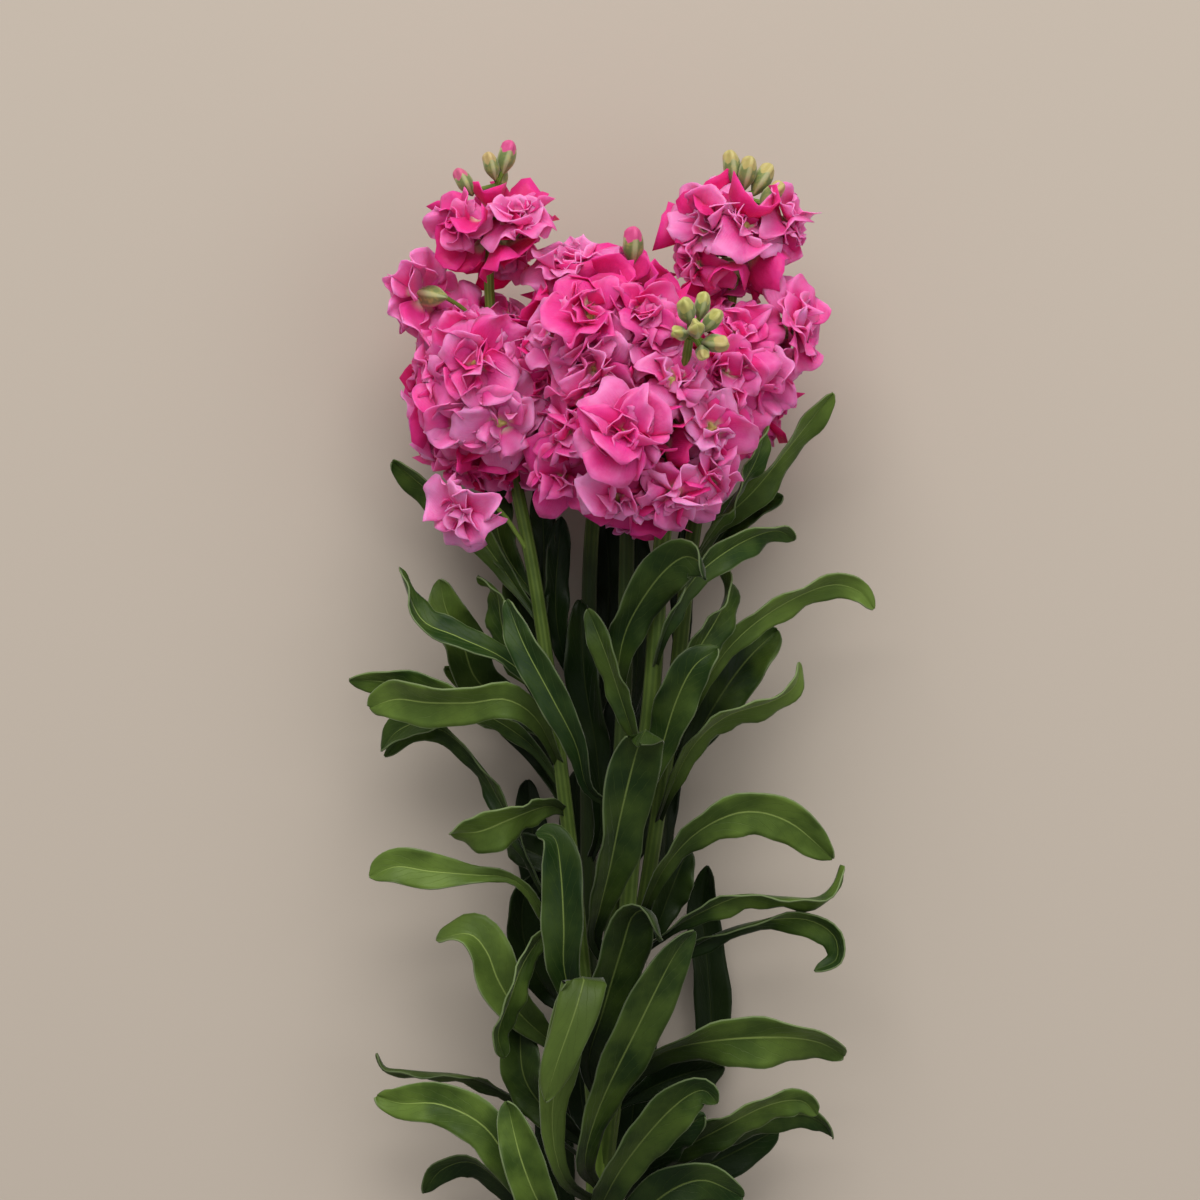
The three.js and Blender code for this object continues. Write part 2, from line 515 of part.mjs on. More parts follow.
leaf('inner_19', 'main', 5, 13, 0, 0, [-5, 20, 12], [-7, 38, 8], [-6, 58, 8]);
leaf('inner_20', 'right', 24, 13, -10, -10, [18, 35, 29], [30, 40, 32], [42, 42, 33]);
leaf('inner_21', 'right', 80, 12, -20, -10, [19, 90, 38], [23, 100, 40], [27, 110, 41], [30, 116, 41]);
leaf('inner_22', 'left', 188, 9, 0, 0, [-19, 205, 38], [-19, 220, 36], [-20, 240, 36]);

// Buds, and the calyces that hold the outlying blooms, each in one body with its pedicel

function budSolid(branch, middle, lean, size, grow) {
  const start = vector(stemLines[branch].at(-1));
  const direction = vector(lean).normalize();
  const length = bud.length * size;
  const points = bud.along.map((share) => vector(middle).addScaledVector(direction, (share - 0.5) * length));
  const radii = bud.girth.map((share) => share * bud.radius * size + grow);
  return roundSolid([start, ...points], [pedicel.radius + grow, ...radii], bud.sides);
}

function calyxSolid(bloom, grow) {
  const facing = vector(bloom.facing).normalize();
  const mouth = vector(bloom.at).addScaledVector(facing, -calyxSeat);
  const waist = mouth.clone().addScaledVector(facing, -calyx.length * 0.5);
  const foot = mouth.clone().addScaledVector(facing, -calyx.length);
  const root = stemAt(bloom.stem, bloom.fromY);
  const bend = root.clone().lerp(foot, pedicel.bendAt).add(new THREE.Vector3(0, pedicel.bendUp, 0));
  const radii = [pedicel.radius, pedicel.radius, calyx.foot, calyx.radius, calyx.radius];
  return roundSolid([root, bend, foot, waist, mouth], radii.map((radius) => radius + grow), calyx.sides);
}

function greenSolid(grow) {
  const solids = Object.keys(stemLines).map((name) => stemSolid(name, grow));
  leaves.slice(firstInner).forEach((inner) => solids.push(leafSolid(inner, grow)));
  buds.forEach(([branch, middle, lean, size]) => solids.push(budSolid(branch, middle, lean, size, grow)));
  Object.values(outlyingBlooms).forEach((bloom) => solids.push(calyxSolid(bloom, grow)));
  return joined(solids);
}

// A floret in one closed body: ruffled outer petals, a crown of upright inner ones and a claw reaching back

function floretSolid(centre, facing, diameter, draw, depth, grow) {
  const reference = Math.abs(facing.z) > 0.8 ? new THREE.Vector3(0, 1, 0) : new THREE.Vector3(0, 0, 1);
  const first = facing.clone().cross(reference).normalize();
  const second = facing.clone().cross(first);
  const count = diameter > fullFloret ? outerPetals.many : outerPetals.few;
  const spin = draw() * Math.PI * 2;
  const around = (turn) => {
    const angle = spin + (turn / count) * Math.PI * 2;
    return first.clone().multiplyScalar(Math.cos(angle)).addScaledVector(second, Math.sin(angle));
  };
  const thickness = petalThickness + grow * 2;
  const ahead = (rise) => centre.clone().addScaledVector(facing, rise * diameter + grow);
  const away = (turn, reach, rise) => ahead(rise).addScaledVector(around(turn), reach * diameter + grow);
  const corners = [centre.clone().addScaledVector(facing, -depth - grow), ahead(crown.middleRise)];
  const outline = outerPetals.outline.length;
  for (let petal = 0; petal < count; petal += 1) {
    const valley = away(petal - 0.5, clawRadius, 0);
    const outward = around(petal + (draw() - 0.5) * outerPetals.turnRange);
    const across = facing.clone().cross(outward);
    const tilt = outerPetals.tilt + (draw() - 0.5) * outerPetals.tiltRange;
    const along = outward.clone().multiplyScalar(Math.sin(tilt)).addScaledVector(facing, Math.cos(tilt));
    const up = along.clone().cross(across);
    const length = diameter * 0.5 * (outerPetals.shortest + draw() * outerPetals.lengthRange);
    const ruffle = outerPetals.ruffle * length * (draw() < 0.5 ? 1 : -1);
    const half = (diameter * outerPetals.width) / count + grow;
    const sheet = outerPetals.outline.map(([reach, sideways, wave]) => {
      const point = centre.clone().addScaledVector(along, reach * length + grow);
      return point.addScaledVector(across, sideways * half).addScaledVector(up, wave * ruffle);
    });
    corners.push(valley, valley.clone().addScaledVector(facing, -thickness));
    [0.5, -0.5].forEach((face) => {
      sheet.forEach((point) => corners.push(point.clone().addScaledVector(up, face * thickness)));
    });
    corners.push(away(petal - 0.5, crown.notchReach, crown.notchRise));
    const turn = petal + (draw() - 0.5) * crown.tipTurn;
    corners.push(away(turn, crown.tipReach, crown.tipRise * (crown.tipShortest + draw() * crown.tipRange)));
  }
  return solidOf(corners, floretFaces(count, outline));
}

// The corners of each petal follow each other: valley, its underside, the outline's two faces,
// crown notch and tip

function floretFaces(count, outline) {
  const faces = [];
  const perPetal = outline * 2 + 4;
  for (let petal = 0; petal < count; petal += 1) {
    const own = 2 + petal * perPetal;
    const next = 2 + ((petal + 1) % count) * perPetal;
    const rim = [...Array(outline).keys()];
    const upper = [own, ...rim.map((step) => own + 2 + step), next];
    const lower = [own + 1, ...rim.map((step) => own + 2 + outline + step), next + 1];
    for (let step = 1; step <= outline; step += 1) {
      faces.push([upper[0], upper[step], upper[step + 1]], [lower[0], lower[step + 1], lower[step]]);
    }
    for (let step = 0; step <= outline; step += 1) {
      faces.push([lower[step], lower[step + 1], upper[step + 1]]);
      faces.push([lower[step], upper[step + 1], upper[step]]);
    }
    const [notch, tip] = [perPetal - 2, perPetal - 1];
    faces.push([0, next + 1, own + 1], [own, next, own + tip], [next, next + notch, own + tip]);
    faces.push([next, next + tip, next + notch], [own + tip, next + notch, 1], [next + notch, next + tip, 1]);
  }
  return faces;
}

// A floret's centre and facing on the rounded mass of its raceme

function floretPlace(raceme, x, y, level, chosen) {
  const [cx, cy, cz] = raceme.centre;
  const [rx, ry, rz] = raceme.half;
  const dx = (x - cx) / rx;
  const dy = (y - cy) / ry;
  const onFace = Math.abs(level) === 1;
  const dz = onFace ? level * Math.sqrt(Math.max(1 - dx * dx - dy * dy, 0.05)) : level;
  const spread = onFace ? 1 : Math.sqrt(1 - dz * dz) / Math.hypot(dx, dy);
  const [ux, uy] = [dx * spread, dy * spread];
  const centre = new THREE.Vector3(cx + ux * rx, cy + uy * ry, Math.max(cz + dz * rz, lowestFloret));
  const facing = chosen ? vector(chosen) : new THREE.Vector3(ux / rx, uy / ry, dz / rz);
  return { centre, facing: facing.normalize() };
}

function racemeSolid(name, grow) {
  const raceme = racemes[name];
  const draw = seededDraw(raceme.seed);
  const coreHalf = raceme.half.map((half) => Math.max(half - coreDepth, half * coreShare) + grow);
  const solids = [ball(raceme.centre, coreHalf, 1)];
  florets[name].forEach(([x, y, diameter, level, chosen]) => {
    const { centre, facing } = floretPlace(raceme, x, y, level, chosen);
    solids.push(floretSolid(centre, facing, diameter, draw, clawDepth, grow));
  });
  return joined(solids);
}

function outlyingSolid(bloom, grow) {
  const facing = vector(bloom.facing).normalize();
  return floretSolid(vector(bloom.at), facing, bloom.wide, seededDraw(bloom.seed), calyxSeat, grow);
}

// Assembly

const stock = new THREE.Group();

function addNode(name, solid, colour, rough) {
  const { vertProperties, triVerts, numProp } = solid.getMesh();
  const geometry = new THREE.BufferGeometry();
  const positions = new Float32Array((vertProperties.length / numProp) * 3);
  for (let index = 0; index < positions.length / 3; index += 1) {
    positions.set(vertProperties.subarray(index * numProp, index * numProp + 3), index * 3);
  }
  geometry.setAttribute('position', new THREE.BufferAttribute(positions, 3));
  geometry.setIndex(new THREE.BufferAttribute(new Uint32Array(triVerts), 1));
  geometry.computeVertexNormals();
  const material = new THREE.MeshStandardMaterial({ color: colour, roughness: rough, metalness: 0 });
  const mesh = new THREE.Mesh(geometry, material);
  mesh.name = name;
  stock.add(mesh);
}

const aboveSurface = (solid) => solid.trimByPlane([0, 0, 1], 0);
const greenGrown = greenSolid(seatGap);

addNode('branched_stem', largestOf(aboveSurface(greenSolid(0))), colours.stem, roughness.stem);
const outerLeaves = leaves.slice(0, firstInner);
outerLeaves.forEach((outer) => {
  const shape = aboveSurface(leafSolid(outer, 0)).subtract(greenGrown);
  addNode(outer.name, largestOf(shape), colours.leaf, roughness.leaf);
});

// Petals give way to stems and leaves, and each raceme to the blooms and racemes placed before it

let taken = joined([greenGrown, ...outerLeaves.map((outer) => leafSolid(outer, leafClearance))]);
Object.entries(outlyingBlooms).forEach(([name, bloom]) => {
  addNode(name, largestOf(outlyingSolid(bloom, 0).subtract(taken)), colours.palePetal, roughness.petal);
  taken = taken.add(outlyingSolid(bloom, petalClearance));
});
Object.keys(racemes).forEach((name) => {
  const shape = aboveSurface(racemeSolid(name, 0).subtract(taken));
  addNode(`raceme_${name}`, largestOf(shape), racemes[name].colour, roughness.petal);
  taken = taken.add(racemeSolid(name, petalClearance));
});

// The origin is under the middle of the whole stem, on the surface it lies on

const whole = new THREE.Box3().setFromObject(stock);
const middle = whole.getCenter(new THREE.Vector3());
stock.position.set(-middle.x, -middle.y, -whole.min.z);

export default stock;
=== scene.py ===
import math
import bpy
import numpy as np
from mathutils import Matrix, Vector


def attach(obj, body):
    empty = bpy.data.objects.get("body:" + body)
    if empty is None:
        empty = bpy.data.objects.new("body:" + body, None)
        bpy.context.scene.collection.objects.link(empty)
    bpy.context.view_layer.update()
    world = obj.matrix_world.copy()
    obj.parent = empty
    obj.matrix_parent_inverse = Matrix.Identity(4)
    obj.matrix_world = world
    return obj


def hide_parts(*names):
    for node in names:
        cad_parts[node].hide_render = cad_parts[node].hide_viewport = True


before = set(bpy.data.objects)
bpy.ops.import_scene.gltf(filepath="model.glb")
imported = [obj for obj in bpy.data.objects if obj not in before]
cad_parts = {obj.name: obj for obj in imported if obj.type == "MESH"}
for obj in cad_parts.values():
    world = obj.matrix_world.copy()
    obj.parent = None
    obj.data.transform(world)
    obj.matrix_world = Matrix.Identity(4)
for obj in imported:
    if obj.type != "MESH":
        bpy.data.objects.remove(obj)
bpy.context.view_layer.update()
print("frame loaded")

# The drawing is in millimetres with the stem's fork near zero; this moves it into the frame
planShift = np.array([-4.305, -100.647, 0.0])
millimetre = 0.001
floorClear = 0.2  # nothing of the flower lies lower than this over the floor


def placed(points):
    return (np.array(points, float) + planShift) * millimetre


# Formulas in node trees: a Field is a number or a vector that flows through a tree

class Field:
    def __init__(self, tree, socket):
        self.tree = tree
        self.socket = socket

    def isVector(self):
        return self.socket.type in ("VECTOR", "RGBA")

    def math(self, operation, *others):
        node = addNode(self.tree, "ShaderNodeMath", {}, operation=operation)
        for place, value in enumerate((self, *others)):
            connect(self.tree, value, node.inputs[place])
        return Field(self.tree, node.outputs[0])

    def vectorMath(self, operation, *others):
        node = addNode(self.tree, "ShaderNodeVectorMath", {}, operation=operation)
        for place, value in enumerate((self, *others)):
            if operation == "SCALE" and place == 1:
                place = 3
            connect(self.tree, value, node.inputs[place])
        return Field(self.tree, node.outputs[0])

    def __add__(self, other):
        return self.vectorMath("ADD", other) if self.isVector() else self.math("ADD", other)

    def __sub__(self, other):
        return self.vectorMath("SUBTRACT", other) if self.isVector() else self.math("SUBTRACT", other)

    def __mul__(self, other):
        return self.vectorMath("SCALE", other) if self.isVector() else self.math("MULTIPLY", other)

    def __rsub__(self, other):
        return self.math("MULTIPLY_ADD", -1.0, other)

    def __pow__(self, power):
        return self.math("POWER", power)

    def part(self, letter):
        node = addNode(self.tree, "ShaderNodeSeparateXYZ", {"Vector": self})
        return Field(self.tree, node.outputs[letter])

    def wave(self):
        return self.math("SINE")

    def size(self):
        return self.math("ABSOLUTE")

    def between(self, low, high, start=0.0, end=1.0):
        settings = {"From Min": low, "From Max": high, "To Min": start, "To Max": end, "Value": self}
        node = addNode(self.tree, "ShaderNodeMapRange", settings, interpolation_type="SMOOTHSTEP")
        return Field(self.tree, node.outputs[0])


def connect(tree, value, socket):
    if isinstance(value, Field):
        tree.links.new(value.socket, socket)
    elif isinstance(value, bpy.types.NodeSocket):
        tree.links.new(value, socket)
    else:
        socket.default_value = value


def addNode(tree, kind, inputs, **settings):
    node = tree.nodes.new(kind)
    for name, value in settings.items():
        setattr(node, name, value)
    for name, value in inputs.items():
        connect(tree, value, node.inputs[name])
    return node


def vectorOf(tree, x, y, z):
    return Field(tree, addNode(tree, "ShaderNodeCombineXYZ", {"X": x, "Y": y, "Z": z}).outputs[0])


def mixColours(tree, share, first, second):
    node = addNode(tree, "ShaderNodeMix", {}, data_type="RGBA")
    connect(tree, share, node.inputs[0])
    connect(tree, first, node.inputs[6])
    connect(tree, second, node.inputs[7])
    return Field(tree, node.outputs[2])


# Geometry trees: each starts from a mesh of marked points and has its sizes as named inputs

def newTree(name, sizes):
    tree = bpy.data.node_groups.new(name, "GeometryNodeTree")
    tree.interface.new_socket("Geometry", in_out="INPUT", socket_type="NodeSocketGeometry")
    for label, value in sizes.items():
        kind = "NodeSocketInt" if isinstance(value, int) else "NodeSocketFloat"
        tree.interface.new_socket(label, in_out="INPUT", socket_type=kind).default_value = value
    tree.interface.new_socket("Geometry", in_out="OUTPUT", socket_type="NodeSocketGeometry")
    given = tree.nodes.new("NodeGroupInput")
    inputs = {label: Field(tree, given.outputs[label]) for label in sizes}
    return tree, given.outputs["Geometry"], inputs


def marked(tree, name, kind="FLOAT"):
    node = addNode(tree, "GeometryNodeInputNamedAttribute", {"Name": name}, data_type=kind)
    return Field(tree, node.outputs[0])


def keep(tree, geometry, name, value, kind="FLOAT", domain="POINT"):
    marks = {"Geometry": geometry, "Name": name, "Value": value}
    node = addNode(tree, "GeometryNodeStoreNamedAttribute", marks, data_type=kind, domain=domain)
    return node.outputs["Geometry"]


def pointPlace(tree):
    return Field(tree, addNode(tree, "GeometryNodeInputPosition", {}).outputs[0])


def stepped(tree, sideways, forward, upward):
    # a marked point's place with steps along its three marked directions
    position = marked(tree, "origin", "FLOAT_VECTOR")
    for name, step in (("side", sideways), ("forward", forward), ("up", upward)):
        position = position + marked(tree, name, "FLOAT_VECTOR") * step
    return position


def markedGrid(tree, columns, rows):
    # a flat sheet from -1 to 1 across and 0 to 1 along, that remembers both in its points
    grid = addNode(tree, "GeometryNodeMeshGrid",
                   {"Size X": 2.0, "Size Y": 1.0, "Vertices X": columns, "Vertices Y": rows})
    sheet = keep(tree, grid.outputs["Mesh"], "UVMap", grid.outputs["UV Map"], "FLOAT2", "CORNER")
    return keep(tree, sheet, "share", pointPlace(tree), "FLOAT_VECTOR")


def aboveFloor(tree, position):
    # what would sink into the floor is pressed flat on it
    height = position.part("Z").math("MAXIMUM", floorClear * millimetre)
    return vectorOf(tree, position.part("X"), position.part("Y"), height)


def finishTree(tree, geometry, position, material):
    moved = addNode(tree, "GeometryNodeSetPosition", {"Geometry": geometry, "Position": position})
    real = addNode(tree, "GeometryNodeRealizeInstances", {"Geometry": moved.outputs[0]})
    smooth = addNode(tree, "GeometryNodeSetShadeSmooth", {"Geometry": real.outputs[0]})
    dressed = addNode(tree, "GeometryNodeSetMaterial",
                      {"Geometry": smooth.outputs[0], "Material": material})
    sink = tree.nodes.new("NodeGroupOutput")
    tree.links.new(dressed.outputs[0], sink.inputs[0])


def newObject(name, data):
    thing = bpy.data.objects.new(name, data)
    bpy.context.scene.collection.objects.link(thing)
    return thing


def markedMesh(name, points, marks, edges=()):
    # a mesh of loose points, or of lines, whose marks are numbers or vectors for each point
    mesh = bpy.data.meshes.new(name)
    mesh.from_pydata([tuple(point) for point in points], list(edges), [])
    for label, values in marks.items():
        values = np.array(values, float)
        kind = "FLOAT_VECTOR" if values.ndim == 2 else "FLOAT"
        data = mesh.attributes.new(label, kind, "POINT").data
        data.foreach_set("vector" if values.ndim == 2 else "value", values.ravel())
    return newObject(name, mesh)


def markedPoints(name, points, lengths):
    # a mesh from each point's own dictionary; the marks named in lengths are in millimetres
    marks = {label: [point[label] for point in points] for label in points[0]}
    for label in lengths:
        marks[label] = np.array(marks[label]) * millimetre
    marks["origin"] = placed(marks["origin"])
    return markedMesh(name, marks["origin"], marks)


def grow(base, tree, sizes, materials, thickness=0.0):
    # runs a tree on its marked mesh and turns the result into a plain mesh at the origin
    modifier = base.modifiers.new("rule", "NODES")
    modifier.node_group = tree
    for item in tree.interface.items_tree:
        if item.item_type == "SOCKET" and item.in_out == "INPUT" and item.name in sizes:
            modifier[item.identifier] = sizes[item.name]
    if thickness > 0:
        wall = base.modifiers.new("wall", "SOLIDIFY")
        wall.thickness = thickness * millimetre
        wall.offset = 0.0
        wall.material_offset = len(materials) - 1
    evaluated = base.evaluated_get(bpy.context.evaluated_depsgraph_get())
    mesh = bpy.data.meshes.new_from_object(evaluated)
    mesh.materials.clear()
    for material in materials:
        mesh.materials.append(material)
    name = base.name
    points = base.data
    bpy.data.objects.remove(base)
    bpy.data.meshes.remove(points)
    return newObject(name, mesh)


# Curves

curveSteps = 400  # fine steps that a smooth curve is measured in


def curveThrough(points, count):
    # evenly spaced points on a smooth curve through the given ones
    controls = np.array(points, float)
    padded = np.vstack([2 * controls[0] - controls[1], controls, 2 * controls[-1] - controls[-2]])
    walk = np.linspace(0, len(controls) - 1, curveSteps)
    span = np.minimum(walk.astype(int), len(controls) - 2)
    rest = (walk - span)[:, None]
    before, start, end, after = padded[span], padded[span + 1], padded[span + 2], padded[span + 3]
    leave, arrive = (end - before) / 2, (after - start) / 2
    fine = (2 * start - 2 * end + leave + arrive) * rest ** 3
    fine += (3 * end - 3 * start - 2 * leave - arrive) * rest ** 2 + leave * rest + start
    run = np.concatenate([[0], np.cumsum(np.linalg.norm(np.diff(fine, axis=0), axis=1))])
    wanted = np.linspace(0, run[-1], count)
    return np.stack([np.interp(wanted, run, fine[:, axis]) for axis in range(fine.shape[1])], axis=1)


def unit(vector):
    vector = np.array(vector, float)
    return vector / np.linalg.norm(vector)


def framesAlong(points):
    # tangent, side and normal at each point, turned as little as possible from one to the next
    tangents = np.gradient(points, axis=0)
    sides, normals = [], []
    side = np.cross(tangents[0], [0, 0, 1])
    for tangent in tangents:
        tangent = unit(tangent)
        side = unit(side - tangent * np.dot(side, tangent))
        sides.append(side)
        normals.append(np.cross(side, tangent))
    return np.array(sides), np.array(normals)


def smoothStep(low, high, value):
    share = np.clip((value - low) / (high - low), 0, 1)
    return share * share * (3 - 2 * share)


# Materials

def newMaterial(name, finish):
    # finish holds the shader's plain numbers by socket name
    material = bpy.data.materials.new(name)
    material.use_nodes = True
    tree = material.node_tree
    shader = tree.nodes["Principled BSDF"]
    for label, value in finish.items():
        shader.inputs[label].default_value = value
    return material, tree, shader


def colour(red, green, blue):
    return (red, green, blue, 1.0)


def shaderMark(tree, name):
    node = addNode(tree, "ShaderNodeAttribute", {}, attribute_name=name)
    return Field(tree, node.outputs["Fac"])


def grain(tree, scale, detail=2.0):
    place = addNode(tree, "ShaderNodeTexCoord", {}).outputs["Object"]
    noise = addNode(tree, "ShaderNodeTexNoise", {"Vector": place, "Scale": scale, "Detail": detail})
    return Field(tree, noise.outputs["Fac"])


def sheetPlace(tree):
    # across from -1 to 1 and along from 0 to 1 on a blade or petal
    spot = Field(tree, addNode(tree, "ShaderNodeUVMap", {}, uv_map="UVMap").outputs[0])
    return spot.part("X") * 2.0 - 1.0, spot.part("Y")


def emboss(tree, shader, height, strength, distance):
    bump = addNode(tree, "ShaderNodeBump",
                   {"Height": height, "Strength": strength, "Distance": distance * millimetre})
    tree.links.new(bump.outputs[0], shader.inputs["Normal"])


leafLook = {
    "dark": colour(0.014, 0.038, 0.004),
    "light": colour(0.092, 0.152, 0.022),
    "youngAndLit": colour(0.155, 0.235, 0.045),
    "oldAndShaded": colour(0.010, 0.032, 0.007),
    # shaded is the colour of painted shade on the low leaves and on those near the middle
    "shaded": colour(0.0022, 0.008, 0.0008),
    "midrib": colour(0.25, 0.34, 0.085),
    "vein": colour(0.105, 0.160, 0.030),
    "edge": colour(0.20, 0.26, 0.12),
    "under": colour(0.150, 0.205, 0.095),
    "underPale": colour(0.25, 0.31, 0.165),
    "shadedBelow": (0.020, 0.060),  # metres over the floor over which painted shade fades, from dark inner to bright outer leaves
    "axis": 0.004,  # metres from the object's middle to the middle of the foliage, where the painted shade is darkest
    "core": (0.010, 0.062),  # metres to each side of it over which the painted shade fades and the leaves get brighter
    "ribWidth": 0.042,  # of the half width
    "veins": 13.0,
    "veinSlant": 0.22,
    "mottle": 60.0,  # grain sizes, a larger number is finer
    "drift": 260.0,
    "down": 1500.0,
}


def leafMaterial(name, dark, light):
    finish = {"Roughness": 0.45, "Specular IOR Level": 0.15, "Sheen Weight": 0.12, "Sheen Roughness": 0.3}
    material, tree, shader = newMaterial(name, finish)
    across, along = sheetPlace(tree)
    offRib = across.size()
    mottle = grain(tree, leafLook["mottle"], 4.0)
    flesh = mixColours(tree, mottle.between(0.32, 0.7), dark, light)
    # a leaf's age tints it paler or darker, partly its own tone and partly painted light and shade
    ageAndLight = shaderMark(tree, "ageAndLight")
    flesh = mixColours(tree, ageAndLight.between(0.45, 0.0) * 0.6, flesh, leafLook["youngAndLit"])
    flesh = mixColours(tree, ageAndLight.between(0.5, 1.0) * 0.75, flesh, leafLook["oldAndShaded"])
    drift = grain(tree, leafLook["drift"]) * 0.06
    bands = (along + offRib * -leafLook["veinSlant"] + drift) * (leafLook["veins"] * math.pi)
    vein = bands.wave().size().between(0.16, 0.0) * offRib.between(1.0, 0.5)
    flesh = mixColours(tree, vein * 0.4, flesh, leafLook["vein"])
    ribWidth = leafLook["ribWidth"]
    rib = (offRib + along * 0.02).between(ribWidth * 1.7, ribWidth * 0.6)
    flesh = mixColours(tree, rib * along.between(1.02, 0.6) * 0.9, flesh, leafLook["midrib"])
    # pale margin, partly the leaf's own and partly a painted highlight where the blade curves away
    edge = (offRib + along.between(0.93, 1.0) * 0.1).between(0.95, 1.0) * 0.7
    flesh = mixColours(tree, edge, flesh, leafLook["edge"])
    # painted shade: leaves low over the floor and near the middle of the foliage are darkened
    place = Field(tree, addNode(tree, "ShaderNodeTexCoord", {}).outputs["Object"])
    height = place.part("Z") + (mottle - 0.5) * 0.01
    sunk = height.between(*reversed(leafLook["shadedBelow"]))
    inside = (place.part("X") - leafLook["axis"]).size().between(*reversed(leafLook["core"]))
    shade = (sunk + inside).between(0.3, 1.6, 0.0, 0.94)
    flesh = mixColours(tree, shade, flesh, leafLook["shaded"])
    connect(tree, flesh, shader.inputs["Base Color"])
    relief = grain(tree, leafLook["down"]) * 0.25 - vein * 0.5 - rib * 1.2
    emboss(tree, shader, relief, 0.5, 0.35)
    return material


leafMaterials = [
    leafMaterial("leaf_upper", leafLook["dark"], leafLook["light"]),
    leafMaterial("leaf_under", leafLook["under"], leafLook["underPale"]),
]

stemLook = {
    "green": colour(0.100, 0.170, 0.020),
    "pale": colour(0.200, 0.300, 0.050),
    "shaded": colour(0.010, 0.022, 0.003),
    "streaks": 9.0,
    "mottle": 120.0,
    "fuzz": 900.0,
    # share of painted shade on each stem, and on pedicels
    "shade": {
        "main": 0.45, "left": 0.5, "back": 0.95, "centre": 0.85, "front": 0.6, "right": 0.6,
        "pedicels": 0.4},
}


def stemMaterial():
    finish = {"Roughness": 0.5, "Specular IOR Level": 0.25, "Sheen Weight": 0.03}
    material, tree, shader = newMaterial("stem_skin", finish)
    around = shaderMark(tree, "turn")
    shade = shaderMark(tree, "shade")
    streak = (around * (stemLook["streaks"] * 2 * math.pi)).wave()
    share = grain(tree, stemLook["mottle"], 3.0) * 0.8 + streak * 0.16
    skin = mixColours(tree, share.between(0.2, 0.7), stemLook["green"], stemLook["pale"])
    # painted shade on stems and pedicels
    skin = mixColours(tree, shade, skin, stemLook["shaded"])
    connect(tree, skin, shader.inputs["Base Color"])
    emboss(tree, shader, streak * 0.4 + grain(tree, stemLook["fuzz"]) * 0.4, 0.4, 0.3)
    return material


stemSkin = stemMaterial()

petalLook = {
    # deep is also painted shade at the petals' feet; pale is partly a painted highlight on the brightest
    # petals and tips
    "deep": colour(0.68, 0.010, 0.15),
    "pink": colour(0.83, 0.034, 0.27),
    "pale": colour(0.93, 0.30, 0.61),
    "throat": colour(0.80, 0.72, 0.48),
    "vein": colour(0.56, 0.02, 0.20),
    "backWash": colour(0.80, 0.085, 0.36),
    "veins": 13.0,
    "mottle": 170.0,
    "crinkle": 420.0,
    "fineCrinkle": 1400.0,
}


def petalMaterial(name, wash):
    # wash is the share of the paler, cooler colour that a petal's back has
    finish = {
        "Roughness": 0.5, "Specular IOR Level": 0.25, "Sheen Weight": 0.04, "Sheen Roughness": 0.4,
        "Subsurface Weight": 0.5, "Subsurface Scale": 0.0025, "Subsurface Radius": (1.0, 0.25, 0.45),
    }
    material, tree, shader = newMaterial(name, finish)
    across, along = sheetPlace(tree)
    tone = shaderMark(tree, "tone")
    cloud = grain(tree, petalLook["mottle"], 3.0)
    # each petal's own tone and mottle, with painted shade at its foot and painted light towards its tip
    toneAndPaintedLight = tone * 0.8 + cloud * 0.5 + along * 0.5 - 0.3
    skin = mixColours(tree, toneAndPaintedLight.between(0.05, 0.6), petalLook["deep"], petalLook["pink"])
    light = toneAndPaintedLight.between(0.48, 1.2)
    skin = mixColours(tree, light, skin, petalLook["pale"])
    skin = mixColours(tree, wash, skin, petalLook["backWash"])
    fan = across * (petalLook["veins"] * math.pi) + cloud * 2.0
    vein = fan.wave().size().between(0.25, 0.0) * along.between(1.0, 0.35)
    skin = mixColours(tree, vein * 0.42, skin, petalLook["vein"])
    blaze = shaderMark(tree, "blaze")
    base = (along - blaze * 0.5 + cloud * 0.12).between(0.34, 0.02)
    skin = mixColours(tree, base, skin, petalLook["throat"])
    connect(tree, skin, shader.inputs["Base Color"])
    crinkle = grain(tree, petalLook["crinkle"], 3.0) * 1.2 + grain(tree, petalLook["fineCrinkle"]) * 0.3
    emboss(tree, shader, vein * -1.0 + crinkle, 0.6, 0.35)
    return material


petalMaterials = [petalMaterial("petal_face", 0.0), petalMaterial("petal_back", 0.45)]

budLook = {
    "green": colour(0.40, 0.43, 0.22),
    "rib": colour(0.16, 0.22, 0.07),
    "yellow": colour(0.52, 0.48, 0.13),
    "pink": colour(0.62, 0.07, 0.24),
    "freckles": 500.0,
    "ragged": 700.0,
    "down": 1200.0,
}


def budMaterial():
    finish = {"Roughness": 0.5, "Specular IOR Level": 0.35, "Sheen Weight": 0.15}
    material, tree, shader = newMaterial("bud_skin", finish)
    rise = shaderMark(tree, "rise")
    rib = shaderMark(tree, "rib")
    blush = shaderMark(tree, "blush")
    skin = mixColours(tree, rib.between(-0.2, 1.0), budLook["rib"], budLook["green"])
    freckle = grain(tree, budLook["freckles"]).between(0.45, 0.8) * 0.5
    skin = mixColours(tree, freckle, skin, budLook["yellow"])
    tip = (rise - rib * 0.07 + grain(tree, budLook["ragged"]) * 0.1).between(0.72, 0.76)
    skin = mixColours(tree, tip * 0.7, skin, budLook["yellow"])
    skin = mixColours(tree, tip * blush, skin, budLook["pink"])
    connect(tree, skin, shader.inputs["Base Color"])
    emboss(tree, shader, rib * 0.6 + grain(tree, budLook["down"]) * 0.3, 0.5, 0.3)
    return material


budSkin = budMaterial()
print("materials mixed")


# Stems: centre lines with a radius at each point, and a pedicel for each floret and bud

